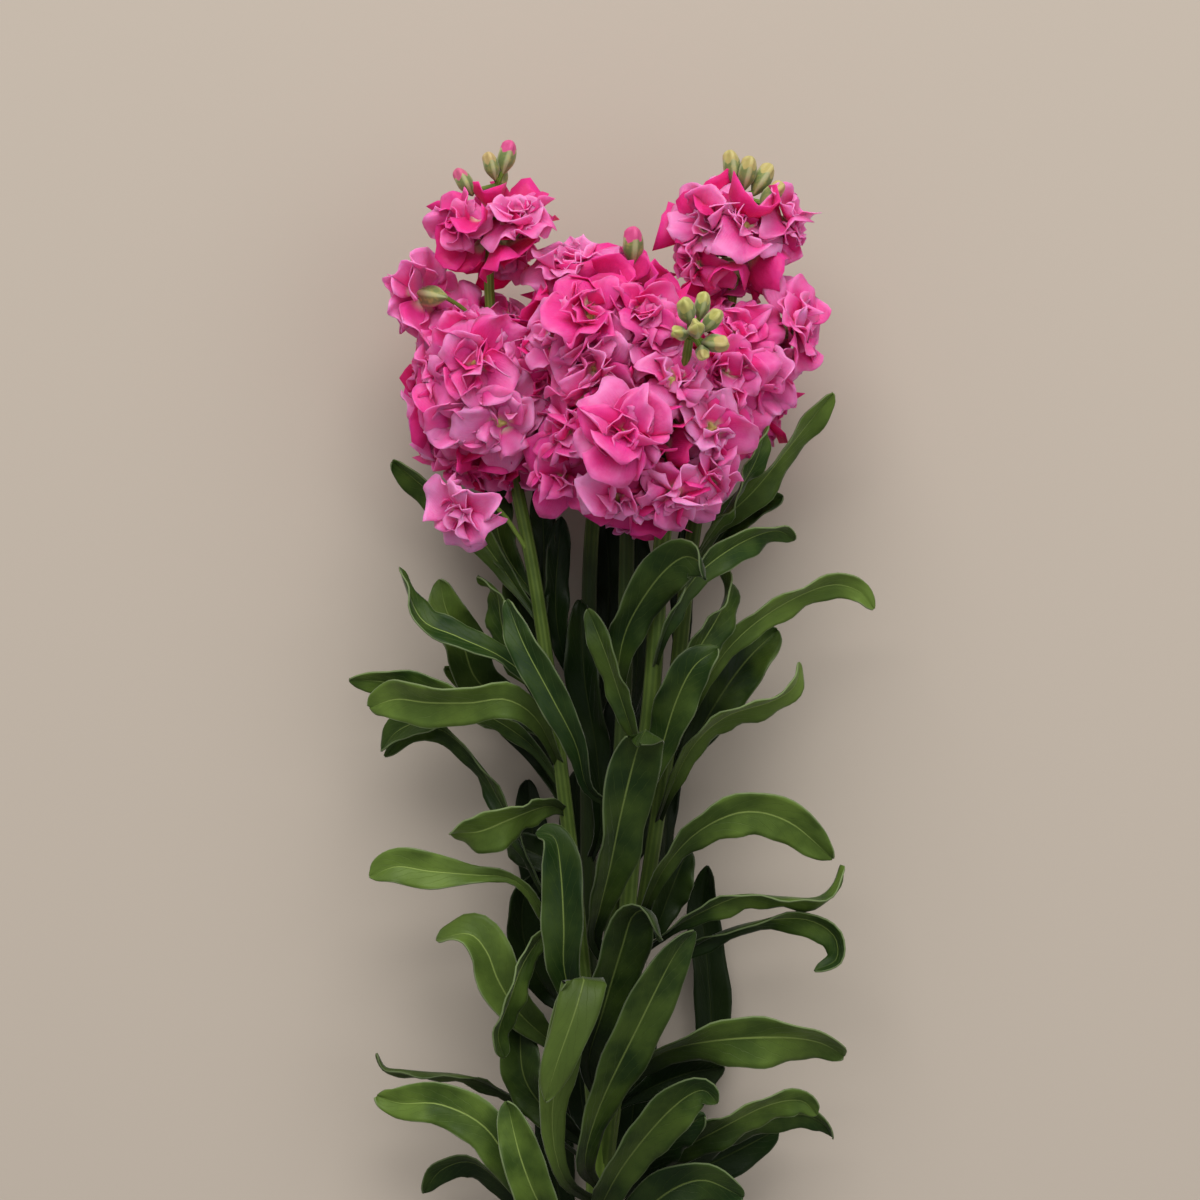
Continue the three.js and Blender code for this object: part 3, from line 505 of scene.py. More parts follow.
stemLines = {
    "main": [(0, -150, 4.2, 5), (0.5, -90, 12, 4.9), (-0.5, -40, 18.5, 4.8), (0, 17, 26, 4.6)],
    "left": [
        (0, 5, 24.5, 3.2), (-5, 67, 32, 2.7), (-10, 117, 38, 2.5), (-17, 173, 43, 2.4),
        (-23, 213, 46, 2.3), (-32, 260, 48, 2.1), (-37, 305, 53, 1.7), (-34, 338, 58, 1.2)],
    "back": [
        (0, 2, 23, 3.2), (-3, 60, 24, 2.8), (-4, 110, 24, 2.7), (-4, 167, 25, 2.7),
        (-3, 220, 27, 2.5), (2, 262, 31, 2), (4, 292, 36, 1.5)],
    "centre": [
        (0, 8, 25.5, 3.2), (3, 60, 33, 2.8), (5, 110, 41, 2.7), (8, 167, 46, 2.7),
        (9, 220, 50, 2.5), (10, 267, 53, 2), (11, 311, 62, 1.3)],
    "front": [
        (1, 8, 26, 3.2), (7, 67, 37, 2.9), (11, 117, 48, 2.9), (17, 167, 58, 3),
        (20, 213, 66, 2.9), (25, 257, 77, 2.2), (29, 285, 96, 1.4)],
    "right": [
        (1, 5, 25, 3.2), (10, 67, 30, 2.7), (18, 117, 34, 2.6), (25, 167, 38.5, 2.7),
        (30, 213, 42.5, 2.6), (37, 258, 46, 2.2), (44, 300, 50, 1.7), (46, 334, 54, 1.2)],
}
stemShape = {"Sides": 20, "Ridges": 7.0, "Ridge Height": 0.045, "Knots": 0.05}
stemPoints = 90
stemCurves = {name: curveThrough(line, stemPoints) for name, line in stemLines.items()}


def stemAt(name, height):
    # the first point of a stem's centre line at that height up the drawing
    curve = stemCurves[name]
    return curve[min(np.searchsorted(curve[:, 1], height), len(curve) - 1), :3]


def stemTree():
    tree, lines, size = newTree("stem_rule", stemShape)
    curve = addNode(tree, "GeometryNodeMeshToCurve", {"Mesh": lines}).outputs[0]
    ring = addNode(tree, "GeometryNodeCurvePrimitiveCircle", {"Resolution": size["Sides"], "Radius": 1.0})
    turn = addNode(tree, "GeometryNodeSplineParameter", {}).outputs["Factor"]
    ring = keep(tree, ring.outputs["Curve"], "turn", turn)
    tube = addNode(tree, "GeometryNodeCurveToMesh", {
        "Curve": curve, "Profile Curve": ring, "Scale": marked(tree, "radius"), "Fill Caps": True})
    place = pointPlace(tree)
    outward = Field(tree, addNode(tree, "GeometryNodeInputNormal", {}).outputs[0])
    ridge = (marked(tree, "turn") * size["Ridges"] * (2 * math.pi)).wave() * size["Ridge Height"]
    noise = addNode(tree, "ShaderNodeTexNoise", {"Vector": place, "Scale": 110.0, "Detail": 2.0})
    knot = (Field(tree, noise.outputs["Fac"]) - 0.5) * size["Knots"]
    position = place + outward * ((ridge + knot) * marked(tree, "radius"))
    finishTree(tree, tube.outputs[0], aboveFloor(tree, position), stemSkin)
    return tree


def linesMesh(name, lines):
    # several lines of (x, y, z, radius) points, each with a share of painted shade, in one mesh
    points, radii, shades, edges = [], [], [], []
    for line, shade in lines:
        first = len(points)
        points.extend(placed(line[:, :3]))
        radii.extend(line[:, 3] * millimetre)
        shades.extend(np.broadcast_to(shade, len(line)))
        edges.extend((first + step, first + step + 1) for step in range(len(line) - 1))
    return markedMesh(name, points, {"radius": radii, "shade": shades}, edges)


# Leaves, numbered from 1 in each group

# stem, height of the root, width, turn at root and tip in degrees, the midrib's points
leafPaths = {
    "leaf_left": [
        ("left", 190, 12, 10, 30, [(-43, 224, 34), (-57, 236, 32), (-70, 247, 36)]),
        ("left", 152, 10, -20, -75, [(-23, 172, 50), (-33, 181, 53), (-48, 188, 54), (-60, 194, 52),
         (-67, 211, 48)]),
        ("left", 138, 15, 0, 10, [(-29, 163, 24), (-42, 173, 26.5), (-47, 187, 31.5), (-52, 197, 36),
         (-54, 207, 36)]),
        ("left", 165, 10, 30, 60, [(-29, 178, 43), (-33, 192, 44), (-35, 203, 46), (-41, 208, 47)]),
        ("back", 140, 13, 0, 0, [(-14, 158, 28), (-22, 178, 30), (-27, 197, 32), (-30, 212, 33)]),
        ("centre", 128, 11, 20, 40, [(-4, 137, 54), (-8, 152, 62), (-16, 168, 67), (-25, 185, 67),
         (-31, 200, 63)]),
        ("left", 143, 16, 20, -25, [(-21, 160, 54.5), (-31, 167, 61.5), (-43, 166, 63.5),
         (-57, 166, 62), (-68, 167, 56), (-77, 164, 49)]),
        ("left", 136, 12, 20, 30, [(-24, 152, 42), (-43, 164, 46), (-60, 170, 47), (-72, 172.5, 47),
         (-84, 173.5, 47)]),
        ("left", 151, 11, -30, -40, [(-25, 157, 36), (-42, 160, 32.5), (-57, 160, 34), (-68, 156, 34),
         (-74, 149, 34)]),
        ("left", 88, 8, 60, 30, [(-18, 100, 36), (-24, 112, 36), (-32, 128, 33), (-42, 145, 29),
         (-54, 156, 27), (-64, 155, 27), (-73, 147, 29)]),
        ("left", 126, 16, 0, 20, [(-18, 131, 50), (-30, 127, 56), (-40, 123, 56), (-50, 122, 52)]),
        ("left", 81, 15, 20, -30, [(-17, 91, 41.5), (-24, 102, 45.5), (-31, 107, 47.5),
         (-42, 108, 49.5), (-57, 109.5, 52), (-68, 111, 52), (-77, 107.5, 50)]),
        ("left", 42, 15, 0, -20, [(-15, 50, 37), (-27, 61, 43), (-34, 72, 45), (-38, 82, 46),
         (-44, 88, 46), (-55, 86, 43)]),
        ("left", 55, 12, 20, -20, [(-15, 63, 13.5), (-21, 71, 16), (-26, 84, 18.5), (-26, 98, 22.5),
         (-20, 107, 27)]),
        ("left", 95, 10, 40, 20, [(-14, 92, 45.5), (-20, 87, 51.5), (-26, 78, 55.5), (-30, 67, 56.5),
         (-34, 55, 52), (-32, 47, 48)]),
        ("main", -20, 15, 10, 20, [(-14, -11, 37.5), (-26, 4, 44.5), (-38, 23, 48.5), (-53, 31, 48),
         (-67, 31, 43), (-75, 33, 39)]),
        ("main", 4, 8, 70, 70, [(-15, 17, 20), (-28, 29, 20), (-39, 35, 20), (-48, 38, 22),
         (-59, 39, 24), (-67, 40, 26), (-73, 41, 27), (-76, 46, 28)]),
        ("main", -30, 11, 30, 40, [(-14, -18, 22), (-24, -9, 23), (-34, 2, 25), (-44, 9, 26),
         (-54, 6, 24), (-60, -2, 21)]),
        ("main", -26, 14, 0, 20, [(-10, -15, 38), (-19, -4, 50), (-26, 13, 57), (-31, 33, 56)]),
    ],
    "leaf_front": [
        ("centre", 163, 16, 0, 10, [(6, 176, 61.5), (9, 191, 68.5), (18, 206, 76.5), (27, 214, 82),
         (33, 212, 86), (34, 207, 90)]),
        ("front", 144, 9, 20, 30, [(11, 155, 64), (7, 167, 69), (2, 182, 72), (-4, 197, 71)]),
        ("front", 127, 14, 0, 10, [(19, 146, 58), (25, 166, 65), (31, 178, 69), (39, 184, 69)]),
        ("centre", 74, 18, 0, 0, [(-2, 86, 45), (0, 97, 55), (3, 110, 63), (7, 130, 70), (12, 150, 75),
         (15, 157, 79), (13, 153, 85)]),
        ("left", 55, 14, 10, 20, [(-9, 66, 51.5), (-12, 78, 59), (-12, 92, 63.5), (-13, 110, 64),
         (-15, 121, 63.5), (-21, 123, 61)]),
        ("centre", 28, 17, 0, 10, [(-4, 43, 41), (1, 63, 54), (7, 84, 63), (11, 96, 69), (17, 97, 75),
         (20, 88, 77)]),
        ("main", 0, 17, 0, 0, [(-5, 12, 50.5), (0, 32, 60), (12, 58, 68), (24, 82, 71.5),
         (31, 91, 71)]),
        ("main", -6, 15, 0, 0, [(-12, 6, 47), (-16, 27, 56.5), (-12, 55, 67.5), (-7, 72, 71),
         (-5, 76, 75), (-8, 65, 79.5), (-14, 48, 78.5), (-18, 35, 73)]),
        ("main", -15, 16, 0, 10, [(0, -5, 42), (8, 12, 57), (22, 30, 65), (33, 38, 68), (39, 34, 69)]),
        ("main", -38, 17, 0, -10, [(6, -22, 36), (17, -3, 47), (33, 6, 50), (48, 0, 48)]),
    ],
    "leaf_right": [
        ("right", 194, 12, -40, -50, [(32, 209, 41), (38, 223, 40), (52, 237, 41), (65, 253, 44),
         (78, 269.5, 46)]),
        ("right", 211, 8, -60, -70, [(37, 222, 54), (46, 236, 62), (52, 247, 65), (55, 258, 65)]),
        ("front", 175, 10, -30, -50, [(22, 191, 76), (31, 207, 73.5), (45, 218, 66), (58, 223, 58.5),
         (65, 220, 52)]),
        ("right", 148, 11, -40, -30, [(30, 161, 44), (38, 177, 49), (48, 189, 51), (62, 199, 51),
         (77, 205, 48), (87, 203, 44), (92, 197, 42)]),
        ("right", 134, 17, -10, 0, [(29, 147, 35), (39, 165, 36), (49, 179, 35), (60, 190, 33)]),
        ("front", 152, 13, -10, -70, [(22, 166, 58), (31, 181, 60), (40, 196, 59), (42, 204, 58),
         (39, 211, 56)]),
        ("right", 121, 12, -30, -50, [(24, 137, 46), (31, 151, 51), (42, 161, 53), (57, 166, 52),
         (65, 171, 50), (67, 179, 48)]),
        ("right", 88, 16, -10, -20, [(16, 98, 43), (22, 111, 51), (33, 123, 55), (48, 129.5, 56),
         (63, 126, 53), (78, 113.5, 48)]),
        ("right", 78, 11, -40, -60, [(22, 88, 45), (33, 95, 49), (47, 101, 51), (60, 100.5, 51),
         (72, 100, 49), (78, 104, 47), (81, 111, 46)]),
        ("right", 61, 10, -60, -30, [(22, 75, 36), (33, 84, 39), (48, 90.5, 41), (67, 93, 43),
         (78, 88, 43), (79.5, 79.5, 43), (72, 75.5, 44)]),
        ("right", 28, 19, -10, -20, [(12, 41, 38), (23, 49, 46), (40, 53, 51), (60, 54, 52),
         (73, 52, 49), (82, 47, 45)]),
        ("main", -4, 13, -20, -30, [(10, 3, 29.5), (23, 12, 34.5), (38, 21, 42.5), (55, 30, 45.5),
         (67, 32, 44), (73, 27, 42)]),
        ("main", -12, 10, -30, -50, [(15, 0, 29.5), (30, 10, 30.5), (50, 22, 34), (67, 26, 33.5),
         (75, 23, 32.5), (79, 18, 30)]),
        ("main", -18, 15, 0, 0, [(12, -8, 3.5), (28, 1, 6), (45, 10, 10.5), (61, 19, 16)]),
        ("main", 0, 13, 0, 0, [(18, 12, 13.5), (32, 28, 9.5), (38, 48, 8.5), (37, 73, 9), (35, 95, 12),
         (37, 109, 17)]),
        ("right", 200, 10, -10, 0, [(35, 213, 31), (45, 226, 30), (53, 232, 30), (62, 235, 31)]),
    ],
    "leaf_low": [
        ("main", -58, 15, 10, 20, [(-14, -46, 25), (-30, -33, 25), (-45, -25, 19), (-58, -23, 10)]),
        ("main", -74, 15, -10, -20, [(14, -62, 22), (30, -50, 23), (46, -42, 17), (58, -40, 8)]),
        ("main", -84, 14, 0, 0, [(1, -74, 26), (4, -58, 33), (6, -42, 34), (4, -30, 33)]),
    ],
    "inner": [
        ("left", 128, 10, 0, 0, [(-22, 147, 24.5), (-34, 162, 20.5), (-44, 171, 20), (-53, 177, 21)]),
        ("left", 104, 12, 20, 0, [(-18, 112, 29), (-31, 118, 24)]),
        ("back", 108, 12, 0, 0, [(0, 123, 32), (-1, 147, 34), (-5, 172, 36), (-7, 200, 36)]),
        ("back", 165, 9, 0, 0, [(-12, 180, 33), (-15, 200, 37), (-13, 228, 39)]),
        ("back", 150, 15, 0, 0, [(0, 168, 15), (3, 200, 12), (2, 228, 12)]),
        ("left", 12, 14, 0, 20, [(-12, 22, 36), (-20, 30, 38), (-26, 41, 39), (-27, 59, 38)]),
        ("main", -9, 13, -30, -20, [(10, 3, 36), (17, 12, 43), (25, 21, 49), (35, 28, 52)]),
        ("main", -42, 14, 0, 0, [(-9, -25, 9), (-15, 0, 4), (-15, 25, 3), (-12, 45, 4)]),
        ("main", -12, 14, 0, 0, [(8, 6, 4.5), (12, 30, 3), (12, 55, 3), (10, 75, 4)]),
        ("back", 62, 13, 0, 0, [(-11, 76, 12), (-19, 95, 5), (-23, 118, 4), (-25, 138, 5)]),
        ("right", 95, 9, 0, 0, [(22, 112, 18), (23, 130, 9), (24, 150, 6), (25, 172, 6)]),
        ("back", 120, 14, 0, 0, [(4, 142, 10), (9, 168, 5), (12, 192, 4)]),
        ("centre", 150, 12, 0, 0, [(12, 172, 34), (13, 198, 32), (12, 226, 32)]),
        ("right", 158, 8, 0, 0, [(27, 178, 27), (28, 200, 22), (29, 226, 20)]),
        ("back", 85, 13, 0, 0, [(4, 100, 9), (8, 122, 5), (10, 145, 5)]),
        ("centre", 96, 12, 0, 0, [(9, 110, 28), (16, 130, 24), (20, 152, 24)]),
        ("left", 198, 12, 0, 0, [(-31, 214, 36), (-35, 226, 34), (-35, 240, 33)]),
        ("back", 66, 11, 0, 0, [(-7, 82, 17), (-9, 104, 14), (-8, 142, 13)]),
        ("main", 5, 13, 0, 0, [(-5, 20, 12), (-7, 38, 8), (-6, 58, 8)]),
        ("right", 24, 13, -10, -10, [(18, 35, 29), (30, 40, 32), (42, 42, 33)]),
        ("right", 80, 12, -20, -10, [(19, 90, 38), (23, 100, 40), (27, 110, 41), (30, 116, 41)]),
        ("left", 188, 9, 0, 0, [(-19, 205, 38), (-19, 220, 36), (-20, 240, 36)]),
    ],
}
leafBlade = {
    "Columns": 11, "Rows": 34, "Fold": 0.33, "Waves": 2.4, "Lag": 1.1, "Wave Height": 1.4,
    "Frills": 6.3, "Frill Height": 0.85, "Groove": 0.35, "Jags": 29.0, "Jag Depth": 0.025,
    "Phase": 0.0, "Age": 0.5,
}
leafWall = 0.55
ribSteps = 240  # fine steps along a midrib that the blade's rows are picked from
# how old a leaf looks, from pale young 0 to dark old 1, where it isn't drawn by chance; the given values
# are partly painted light on lit leaves and painted shade on shaded ones
leafAgesAndLight = {
    "leaf_front_08": 0.05, "leaf_left_07": 0.2, "leaf_left_12": 0.2, "leaf_left_11": 0.25,
    "leaf_left_13": 0.2, "leaf_right_04": 0.2, "leaf_right_07": 0.15, "leaf_right_08": 0.25,
    "leaf_right_11": 0.25, "leaf_left_16": 0.3, "leaf_right_12": 0.3,
    "leaf_front_04": 0.7, "leaf_front_05": 0.85, "leaf_front_06": 0.7, "leaf_front_07": 0.6,
    "leaf_left_02": 0.8, "leaf_left_06": 0.9, "leaf_front_01": 0.7, "leaf_front_03": 0.7,
}
leafTwist = {"degrees": 13.0, "turns": 1.5}  # each blade also winds to and fro round its midrib
leafRange = (0.6, 1.5)  # each leaf has this share of the fold and of the waves' heights
leafEnds = {"rootWidth": 0.22, "widens": (0.04, 0.66), "tipStarts": 0.7, "least": 0.003, "crowding": 1.6}
# leaves whose blades stay narrow for longer than the others
lateBlades = {"leaf_left_12": (0.4, 0.9), "leaf_right_04": (0.1, 0.7), "leaf_right_08": (0.1, 0.7)}


def leafTree():
    tree, rib, size = newTree("leaf_rule", leafBlade)
    sheet = markedGrid(tree, size["Columns"], size["Rows"])
    share = marked(tree, "share", "FLOAT_VECTOR")
    across = share.part("X")
    row = ((share.part("Y") + 0.5) * (size["Rows"] - 1.0)).math("ROUND")

    def ribMark(name, kind="FLOAT_VECTOR"):
        value = pointPlace(tree) if name == "position" else marked(tree, name, kind)
        node = addNode(tree, "GeometryNodeSampleIndex", {"Geometry": rib}, data_type=kind)
        connect(tree, value, node.inputs["Value"])
        connect(tree, row, node.inputs["Index"])
        return Field(tree, node.outputs[0])

    along = ribMark("along", "FLOAT")
    half = ribMark("half", "FLOAT")
    offRib = across.size()
    calm = along.between(0.15, 0.4) * (1.0 - along * 0.4)
    beat = (along * size["Waves"] * (2 * math.pi) + size["Phase"] + across * size["Lag"]).wave()
    rise = half * size["Fold"] + calm * beat * size["Wave Height"] * millimetre
    frill = (along * size["Frills"] * (2 * math.pi) + size["Phase"] * 3.0 + across * 1.4).wave()
    lift = rise * offRib ** 1.3 + frill * calm * offRib ** 4.0 * size["Frill Height"] * millimetre
    groove = offRib.between(0.2, 0.0) * size["Groove"] * millimetre
    jag = (along * size["Jags"] + size["Phase"] * 2.0).wave() * size["Jag Depth"] + 1.0
    position = ribMark("position") + ribMark("side") * (across * half * jag)
    position = position + ribMark("up") * (lift - groove)
    sheet = keep(tree, sheet, "ageAndLight", size["Age"])
    finishTree(tree, sheet, aboveFloor(tree, position), leafMaterials[0])
    return tree


def midrib(stem, height, width, rollRoot, rollTip, path, widens, phase):
    # the marked line that a blade is spread on
    rows = leafBlade["Rows"]
    walk = curveThrough([stemAt(stem, height), *path], ribSteps + 1)
    sides, normals = framesAlong(walk)
    along = 1 - (1 - np.linspace(0, 1, rows)) ** leafEnds["crowding"]
    pick = np.round(along * ribSteps).astype(int)
    body = leafEnds["rootWidth"] + (1 - leafEnds["rootWidth"]) * smoothStep(*widens, along)
    past = np.clip(along - leafEnds["tipStarts"], 0, 1) / (1 - leafEnds["tipStarts"])
    half = width / 2 * body * np.sqrt(np.maximum(1 - past ** 2, leafEnds["least"]))
    winding = np.sin(along * leafTwist["turns"] * 2 * math.pi + phase) * smoothStep(0.1, 0.4, along)
    roll = rollRoot + (rollTip - rollRoot) * along + winding * leafTwist["degrees"]
    roll = np.radians(roll)[:, None]
    side, normal = sides[pick], normals[pick]
    return {
        "points": placed(walk[pick]), "along": along, "half": half * millimetre,
        "side": side * np.cos(roll) + normal * np.sin(roll),
        "up": normal * np.cos(roll) - side * np.sin(roll),
    }


leafRule = leafTree()
leafRows = [(f"{group}_{place:02d}", row) for group, rows in leafPaths.items()
            for place, row in enumerate(rows, 1)]
for number, (name, (stem, height, width, rollRoot, rollTip, path)) in enumerate(leafRows):
    widens = lateBlades.get(name, leafEnds["widens"])
    marks = midrib(stem, height, width, rollRoot, rollTip, path, widens, number * 2.3)
    draw = np.random.default_rng(500 + number)
    own = {"Phase": number * 1.7, "Age": leafAgesAndLight.get(name, draw.uniform(0.2, 0.9))}
    for label in ("Fold", "Wave Height", "Frill Height"):
        own[label] = leafBlade[label] * draw.uniform(*leafRange)
    base = markedMesh(name + "_blade", marks.pop("points"), marks)
    blade = grow(base, leafRule, own, leafMaterials, leafWall)
    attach(blade, "root")
    if name.startswith("leaf"):
        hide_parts(name)
print("leaves grown")


# Flower heads: the racemes' rounded masses and their florets

racemes = {
    "front": {"centre": (14, 255, 64), "half": (30, 30, 38), "tone": 0.55, "seed": 151},
    "centre": {"centre": (3, 286, 56), "half": (27, 28, 38), "tone": 0.5},
    "left": {"centre": (-37, 270, 39), "half": (22, 29, 37), "tone": 0.55},
    "right": {"centre": (43, 275, 39), "half": (18, 24, 37), "tone": 0.5},
    "back": {"centre": (3, 262, 30), "half": (31, 28, 28), "tone": 0.35},
    "left_top": {"centre": (-36, 323, 57), "half": (12, 11, 13), "tone": 0.55, "seed": 141},
    "right_top": {"centre": (43, 319, 54), "half": (13, 13, 14), "tone": 0.55},
}
racemeStems = {"left_top": "left", "right_top": "right"}  # the others are named as their stems
# x, y, width, level on the rounded mass, and the facing if it isn't straight out
florets = {
    "left": [
        (-47, 291, 29, 1, (-0.1, 0.6, 0.8)), (-28, 295, 25, 1), (-41, 279, 32, 1, (-0.1, 0.15, 1)),
        (-55, 275, 26, 1), (-48, 260, 29, 1, (-0.3, -0.2, 0.9)), (-33, 258, 30, 1, (0, -0.4, 1)),
        (-22, 268, 28, 1, (0.2, 0, 1)), (-27, 246, 27, 1, (0.1, -0.6, 0.8)), (-62, 280, 24, 0.1),
        (-62, 260, 25, 0), (-45, 244, 24, 0.1), (-18, 284, 27, 0.7, (0.3, 0.1, 1)),
        (-51, 284, 28, -1), (-37, 268, 33, -1, (0, 0, -1)), (-41, 251, 27, -0.7),
    ],
    "centre": [
        (-10, 311, 30, 1, (-0.3, 0.8, 0.5)), (-3, 293, 32, 1, (0, 0.3, 1)), (-16, 284, 28, 1),
        (14, 292, 27, 1, (0.1, 0.3, 0.9)), (26, 289, 26, 0.8), (-2, 275, 28, 1),
        (18, 298, 26, -0.9),
    ],
    "front": [
        (8, 281, 31, 1, (0, 0.3, 1)), (-6, 269, 29, 1), (8, 254, 33, 1, (0, 0, 1)), (-12, 254, 27, 1),
        (-14, 239, 27, 1, (-0.5, -0.4, 0.75)), (6, 232, 26, 0.6, (0, -0.8, 0.6)),
        (24, 234, 26, 0.6, (0.2, -0.8, 0.6)), (24, 272, 27, 1), (37, 256, 27, 1, (0.5, -0.1, 0.9)),
        (36, 240, 25, 0.4, (0.4, -0.6, 0.6)), (12, 231, 25, -0.4, (0, -1, -0.3)),
    ],
    "right": [
        (42, 276, 29, 1), (43, 262, 27, 1, (0.2, -0.3, 1)), (55, 274, 26, 1, (0.4, 0.25, 0.9)),
        (46, 290, 26, 1, (0.1, 0.4, 0.9)), (34, 299, 27, 1, (-0.35, 0.85, 0.4)),
        (60, 282, 24, 0.05), (54, 264, 23, 0.1), (44, 252, 24, 0.2), (52, 285, 27, -1),
        (43, 272, 32, -1, (0, 0, -1)), (48, 259, 25, -0.7),
    ],
    "back": [
        (-8, 280, 30, -1), (16, 280, 30, -1), (-14, 261, 30, -1), (5, 262, 32, -1, (0, 0, -1)),
        (24, 261, 29, -1), (5, 242, 30, -1),
    ],
    "left_top": [
        (-28, 328, 27, 1, (0.1, 0.7, 0.7)), (-46, 325, 22, 0.4, (-0.5, 0, 0.7)),
        (-29, 318, 20, -0.4, (0.5, -0.3, -0.5)), (-38, 325, 23, -1),
    ],
    "right_top": [
        (36, 325, 28, 1, (-0.3, 0.3, 0.9)), (50, 327, 25, 0.8, (0.35, 0.6, 0.7)),
        (31, 311, 23, 1, (-0.7, -0.4, 0.5)), (46, 312, 21, -0.5, (0.4, -0.3, -0.5)),
    ],
}
outlyingTone = 0.55
outlyingBlooms = {
    "bloom_left_side": {
        "at": (-61, 302, 50), "wide": 32, "facing": (-0.7, 0.1, -0.7), "stem": "left", "from": 284},
    "bloom_left_low": {
        "at": (-47, 229, 66), "wide": 25, "facing": (-0.7, -0.3, 0.65), "stem": "left", "from": 214},
    "bloom_right_side": {
        "at": (67, 291, 60), "wide": 32, "facing": (0.85, 0.1, 0.35), "stem": "right", "from": 283},
    "bloom_right_top": {
        "at": (64, 325, 56), "wide": 24, "facing": (0.9, 0.1, 0.2), "stem": "right", "from": 316},
}

# A double floret's layers of petals from the outside in; sizes are shares of the floret's half width
floretLayers = [
    {"count": 6, "length": 1.02, "width": 0.98, "tilt": 1.42, "spread": 0.75, "curl": 0.35,
     "cup": 0.05, "ruffle": 0.14, "off": 0.04, "blaze": 0.1},
    {"count": 5, "length": 0.84, "width": 0.95, "tilt": 1.1, "spread": 1.0, "curl": 0.3,
     "cup": 0.2, "ruffle": 0.16, "off": 0.1, "blaze": 0.15},
    {"count": 4, "length": 0.64, "width": 1.0, "tilt": 0.8, "spread": 1.2, "curl": 0.15,
     "cup": 0.6, "ruffle": 0.16, "off": 0.22, "blaze": 0.35},
    {"count": 2, "length": 0.46, "width": 0.85, "tilt": 0.5, "spread": 1.0, "curl": 0.2,
     "cup": 1.0, "ruffle": 0.12, "off": 0.26, "blaze": 0.55},
]
wideFloret = 30  # a narrower floret has a petal fewer in its outer layers
floretLowest = 1.5  # height over the floor of the lowest floret's middle
toneRange = 0.15
# how far a floret's petals differ from each other
petalRange = {
    "angle": (-0.42, 0.42), "length": (0.74, 1.08), "tilt": (-0.5, 0.5), "twist": (-0.6, 0.6),
    "width": (0.8, 1.14), "ruffle": (0.5, 1.5), "cup": (-0.4, 0.5), "curl": (-0.35, 0.45),
    "blaze": (0.5, 1.5), "tone": (-0.16, 0.16),
}
floretClaw = 0.16  # share of the half width that a petal's foot lies behind the floret's middle
smallPetal = 0.65  # petals shorter than this share are made with fewer faces
petalShape = {
    "Columns": 15, "Rows": 9, "Small Columns": 7, "Small Rows": 6,
    "Claw": 0.2, "Rounding": 0.45, "Notch": 0.07, "Lobes": 4.6, "Lobe Height": 0.065, "Crease": 0.07,
    "Ruffles": 3.2, "Fine Ruffles": 6.5, "Frills": 7.5, "Frill Height": 0.9,
    "Scallops": 7.0, "Scallop Depth": 0.06,
}
petalWall = 0.28
# small petals between the florets, with the ranges that they are drawn from; their low tone gives them the
# deep colour as painted shade deep in the head
innerPetals = {
    "perRaceme": 100, "smallRaceme": 14, "bigRaceme": 20, "size": 14.0, "sizes": (0.8, 1.25),
    "depth": (0.5, 0.72), "tilt": (0.1, 1.1), "twist": (-0.8, 0.8), "width": (0.4, 0.6), "ruffle": 0.15,
    "cup": (0.0, 1.6), "curl": (-0.5, 0.5), "blaze": 0.1, "tone": -0.05, "tones": (-0.25, 0.25),
}


def petalTree():
    tree, points, size = newTree("petal_rule", petalShape)
    sheets = []
    small = marked(tree, "small")
    for which, prefix in (("LESS_THAN", ""), ("GREATER_THAN", "Small ")):
        sheet = markedGrid(tree, size[prefix + "Columns"], size[prefix + "Rows"])
        chosen = small.math(which, 0.5)
        spread = addNode(tree, "GeometryNodeInstanceOnPoints",
                         {"Points": points, "Selection": chosen, "Instance": sheet})
        sheets.append(spread.outputs[0])
    both = addNode(tree, "GeometryNodeJoinGeometry", {})
    for sheet in sheets:
        tree.links.new(sheet, both.inputs[0])
    real = addNode(tree, "GeometryNodeRealizeInstances", {"Geometry": both.outputs[0]}).outputs[0]
    share = marked(tree, "share", "FLOAT_VECTOR")
    across = share.part("X")
    along = share.part("Y") + 0.5
    length = marked(tree, "length")
    half = marked(tree, "half")
    phase = marked(tree, "phase")
    offFold = across.size()
    widening = along.between(0.06, 0.58) * (1.0 - size["Claw"]) + size["Claw"]
    outline = widening * ((along * size["Scallops"] + phase).wave() * size["Scallop Depth"] + 1.0)
    fan = across * (math.pi / 2)
    sideways = fan.wave() * half * outline
    lobes = (across * size["Lobes"] + phase * 1.7).wave() * size["Lobe Height"]
    notch = offFold.between(0.35, 0.0) * size["Notch"]
    shoulder = (1.0 - fan.math("COSINE")) * size["Rounding"]
    reach = along * (1.0 - shoulder) + along ** 5.0 * (lobes - notch)
    fine = (across * size["Fine Ruffles"] + along * 4.0 + phase * 2.3).wave()
    ruffle = (across * size["Ruffles"] + phase).wave() + fine * 0.5
    frill = (across * size["Frills"] + phase * 3.1).wave() * size["Frill Height"] * along ** 3.5
    ruffle = (ruffle * along ** 1.6 + frill) * marked(tree, "ruffle") * (offFold * 0.5 + 0.5)
    bend = across * across * marked(tree, "cup") * along * 0.5
    bend = bend - (along - 0.25) * (along - 0.25) * marked(tree, "curl") * 0.8
    crease = offFold.between(0.5, 0.0) * along * size["Crease"]
    margin = across.between(0.55, 1.0) * marked(tree, "leftRoll")
    margin = margin + across.between(-0.55, -1.0) * marked(tree, "rightRoll")
    wring = across * along * along * marked(tree, "wring")
    rise = (ruffle + bend - crease + (margin + wring) * along.between(0.2, 0.6)) * length
    sideways = sideways + along * along * marked(tree, "skew") * length
    position = stepped(tree, sideways, reach * length, rise)
    finishTree(tree, real, aboveFloor(tree, position), petalMaterials[0])
    return tree


